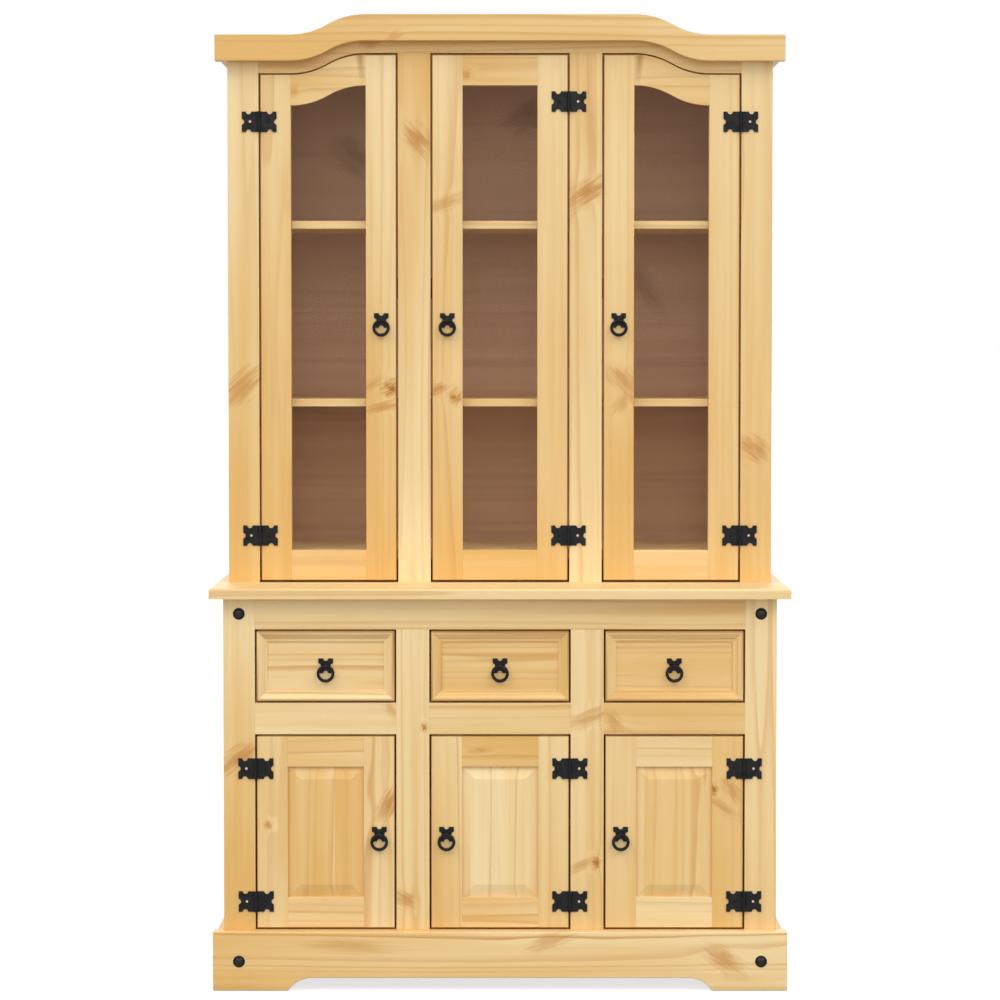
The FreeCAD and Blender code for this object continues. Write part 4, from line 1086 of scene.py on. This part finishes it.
def plate_pins(owner):
    """The two pins in the upper corners of a pull's plate."""
    x, pivot_y, pivot_z = JOINT_PLACES[f"{owner}_ring_swing"]
    face = pivot_y + RING_STANDOFF - PLATE_THICK
    fixings = Smithy()
    for side in (-1, 1):
        fixings.turn((x + side * PIN_SIDE, face, pivot_z + PIN_RISE), PIN, sides=14)
    return fixings


def door_on(x, y):
    """The door whose hinge line passes nearest to a place, seen from above."""
    return min(DOORS, key=lambda door: (Vector(JOINT_PLACES[f"{door}_hinge"][:2]) - Vector((x, y))).length)


turned_studs()
frame_screws = Smithy()
fixings_of = {owner: plate_pins(owner) for owner in DOORS + DRAWERS}
for faces in solids_of("hinge_pins"):
    x, y, z = middle_of(faces)
    door = door_on(x, y)
    to_frame = -1 if door.endswith("left") else 1
    for smithy, side in ((frame_screws, to_frame), (fixings_of[door], -to_frame)):
        place = (x + side * SCREW_FROM_AXIS, y + AXIS_STANDOFF - PLATE_THICK, z)
        smithy.turn(place, SCREW, sides=24, drive=SCREW_DRIVE)
frame_screws.fasten("frame_hinge_screws", "carcass", BRIGHT_ZINC)
for owner, fixings in fixings_of.items():
    fixings.fasten(f"{owner}_fixings", owner, BLACK_IRON)
    forged_ring(owner)

NAIL_INSET = 4 * MM
NAIL_SPACING = 150 * MM


def even_steps(low, high):
    """Places from low to high, both ends included, about a nail's spacing apart."""
    count = round((high - low) / NAIL_SPACING)
    return [low + (high - low) * step / count for step in range(count + 1)]


back_nails = Smithy()
for node in BACK_PANELS:
    low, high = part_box(node)
    left, right = low[ALONG_X] + NAIL_INSET, high[ALONG_X] - NAIL_INSET
    bottom, top = low[ALONG_Z] + NAIL_INSET, high[ALONG_Z] - NAIL_INSET
    places = [(x, z) for x in (left, right) for z in even_steps(bottom, top)]
    places += [(x, z) for z in (bottom, top) for x in even_steps(left, right)[1:-1]]
    for x, z in places:
        back_nails.turn((x, high[ALONG_Y], z), NAIL, sides=12, facing=-1)
back_nails.fasten("back_panel_nails", "carcass", BRIGHT_ZINC)

# Nodes that are shown as they are in the frame
PLAIN_NODES = {"hinge_pins": BLACK_IRON, **{f"hutch_door_{bay}_glass": CLEAR_GLASS for bay in BAYS}}
for node, material in PLAIN_NODES.items():
    frame["nodes"][node].data.materials.clear()
    frame["nodes"][node].data.materials.append(material)


# Floor, light and camera

FLOOR_HALF = 60.0
FLOOR_DROP = 0.2 * MM
FLOOR_GREY = shade(160, 160, 160)
FLOOR_GLOW = 0.72
SKY_LIGHT = 0.35
LAMP_DISTANCE = 6
SIDE_LAMP_TURN = 48
SIDE_LAMP = {"above": 46, "spread": 40, "power": 1.15}

# The photograph's eye, a little above the middle and looking slightly down
EYE = (0.0, -4.9774, 1.25)
DEGREES_DOWN = 1.978
LENS = 89.51
SENSOR = 36.0
FRAME_SHIFT = -0.07


def white_floor():
    """A pale floor that keeps the shadow, and is white where the camera, gloss or glass sees it."""
    material, bench, surface = new_material("white_floor")
    surface.inputs["Base Color"].default_value = FLOOR_GREY
    surface.inputs["Roughness"].default_value = 1.0
    surface.inputs["Specular IOR Level"].default_value = 0.0
    surface.inputs["Emission Color"].default_value = WHITE
    bench.feed(surface.inputs["Emission Strength"], bench.times(bench.seen(), FLOOR_GLOW))
    corners = [(x * FLOOR_HALF, y * FLOOR_HALF, 0) for x, y in ((-1, -1), (1, -1), (1, 1), (-1, 1))]
    mesh = bpy.data.meshes.new("floor")
    mesh.from_pydata(corners, [], [(0, 1, 2, 3)])
    mesh.materials.append(material)
    floor = bpy.data.objects.new("floor", mesh)
    floor.location.z = -FLOOR_DROP
    bpy.context.scene.collection.objects.link(floor)


def soft_world():
    """A white room that lights the object faintly from all round."""
    world = bpy.data.worlds.new("studio")
    bpy.context.scene.world = world
    world.use_nodes = True
    bench = Bench(world.node_tree)
    sky = world.node_tree.nodes["Background"]
    sky.inputs["Color"].default_value = WHITE
    bench.feed(sky.inputs["Strength"], bench.stretch(bench.seen(), SKY_LIGHT, 1.0))


def far_lamp(name, round_from_front, above, spread, power):
    """A broad lamp far off, as bright on the cornice as on the plinth: its place and spread in degrees."""
    light = bpy.data.lights.new(name, "SUN")
    light.energy = power
    light.angle = math.radians(spread)
    lamp = bpy.data.objects.new(name, light)
    turn, lift = math.radians(round_from_front), math.radians(above)
    way = Vector((math.sin(turn) * math.cos(lift), -math.cos(turn) * math.cos(lift), math.sin(lift)))
    lamp.location = LAMP_DISTANCE * way
    lamp.rotation_euler = (-way).to_track_quat("-Z", "Y").to_euler()
    bpy.context.scene.collection.objects.link(lamp)


def photo_camera():
    """The camera, at the photograph's eye."""
    data = bpy.data.cameras.new("photo_camera")
    data.lens = LENS
    data.sensor_width = SENSOR
    data.shift_y = FRAME_SHIFT
    camera = bpy.data.objects.new("photo_camera", data)
    camera.location = EYE
    camera.rotation_euler = (math.radians(90 - DEGREES_DOWN), 0.0, 0.0)
    bpy.context.scene.collection.objects.link(camera)
    bpy.context.scene.camera = camera


white_floor()
soft_world()
far_lamp("left_lamp", round_from_front=-SIDE_LAMP_TURN, **SIDE_LAMP)
far_lamp("right_lamp", round_from_front=SIDE_LAMP_TURN, **SIDE_LAMP)
far_lamp("front_lamp", round_from_front=0, above=12, spread=50, power=0.9)
far_lamp("back_lamp", round_from_front=180, above=40, spread=40, power=1.0)
photo_camera()
bpy.context.scene.view_settings.view_transform = "Standard"
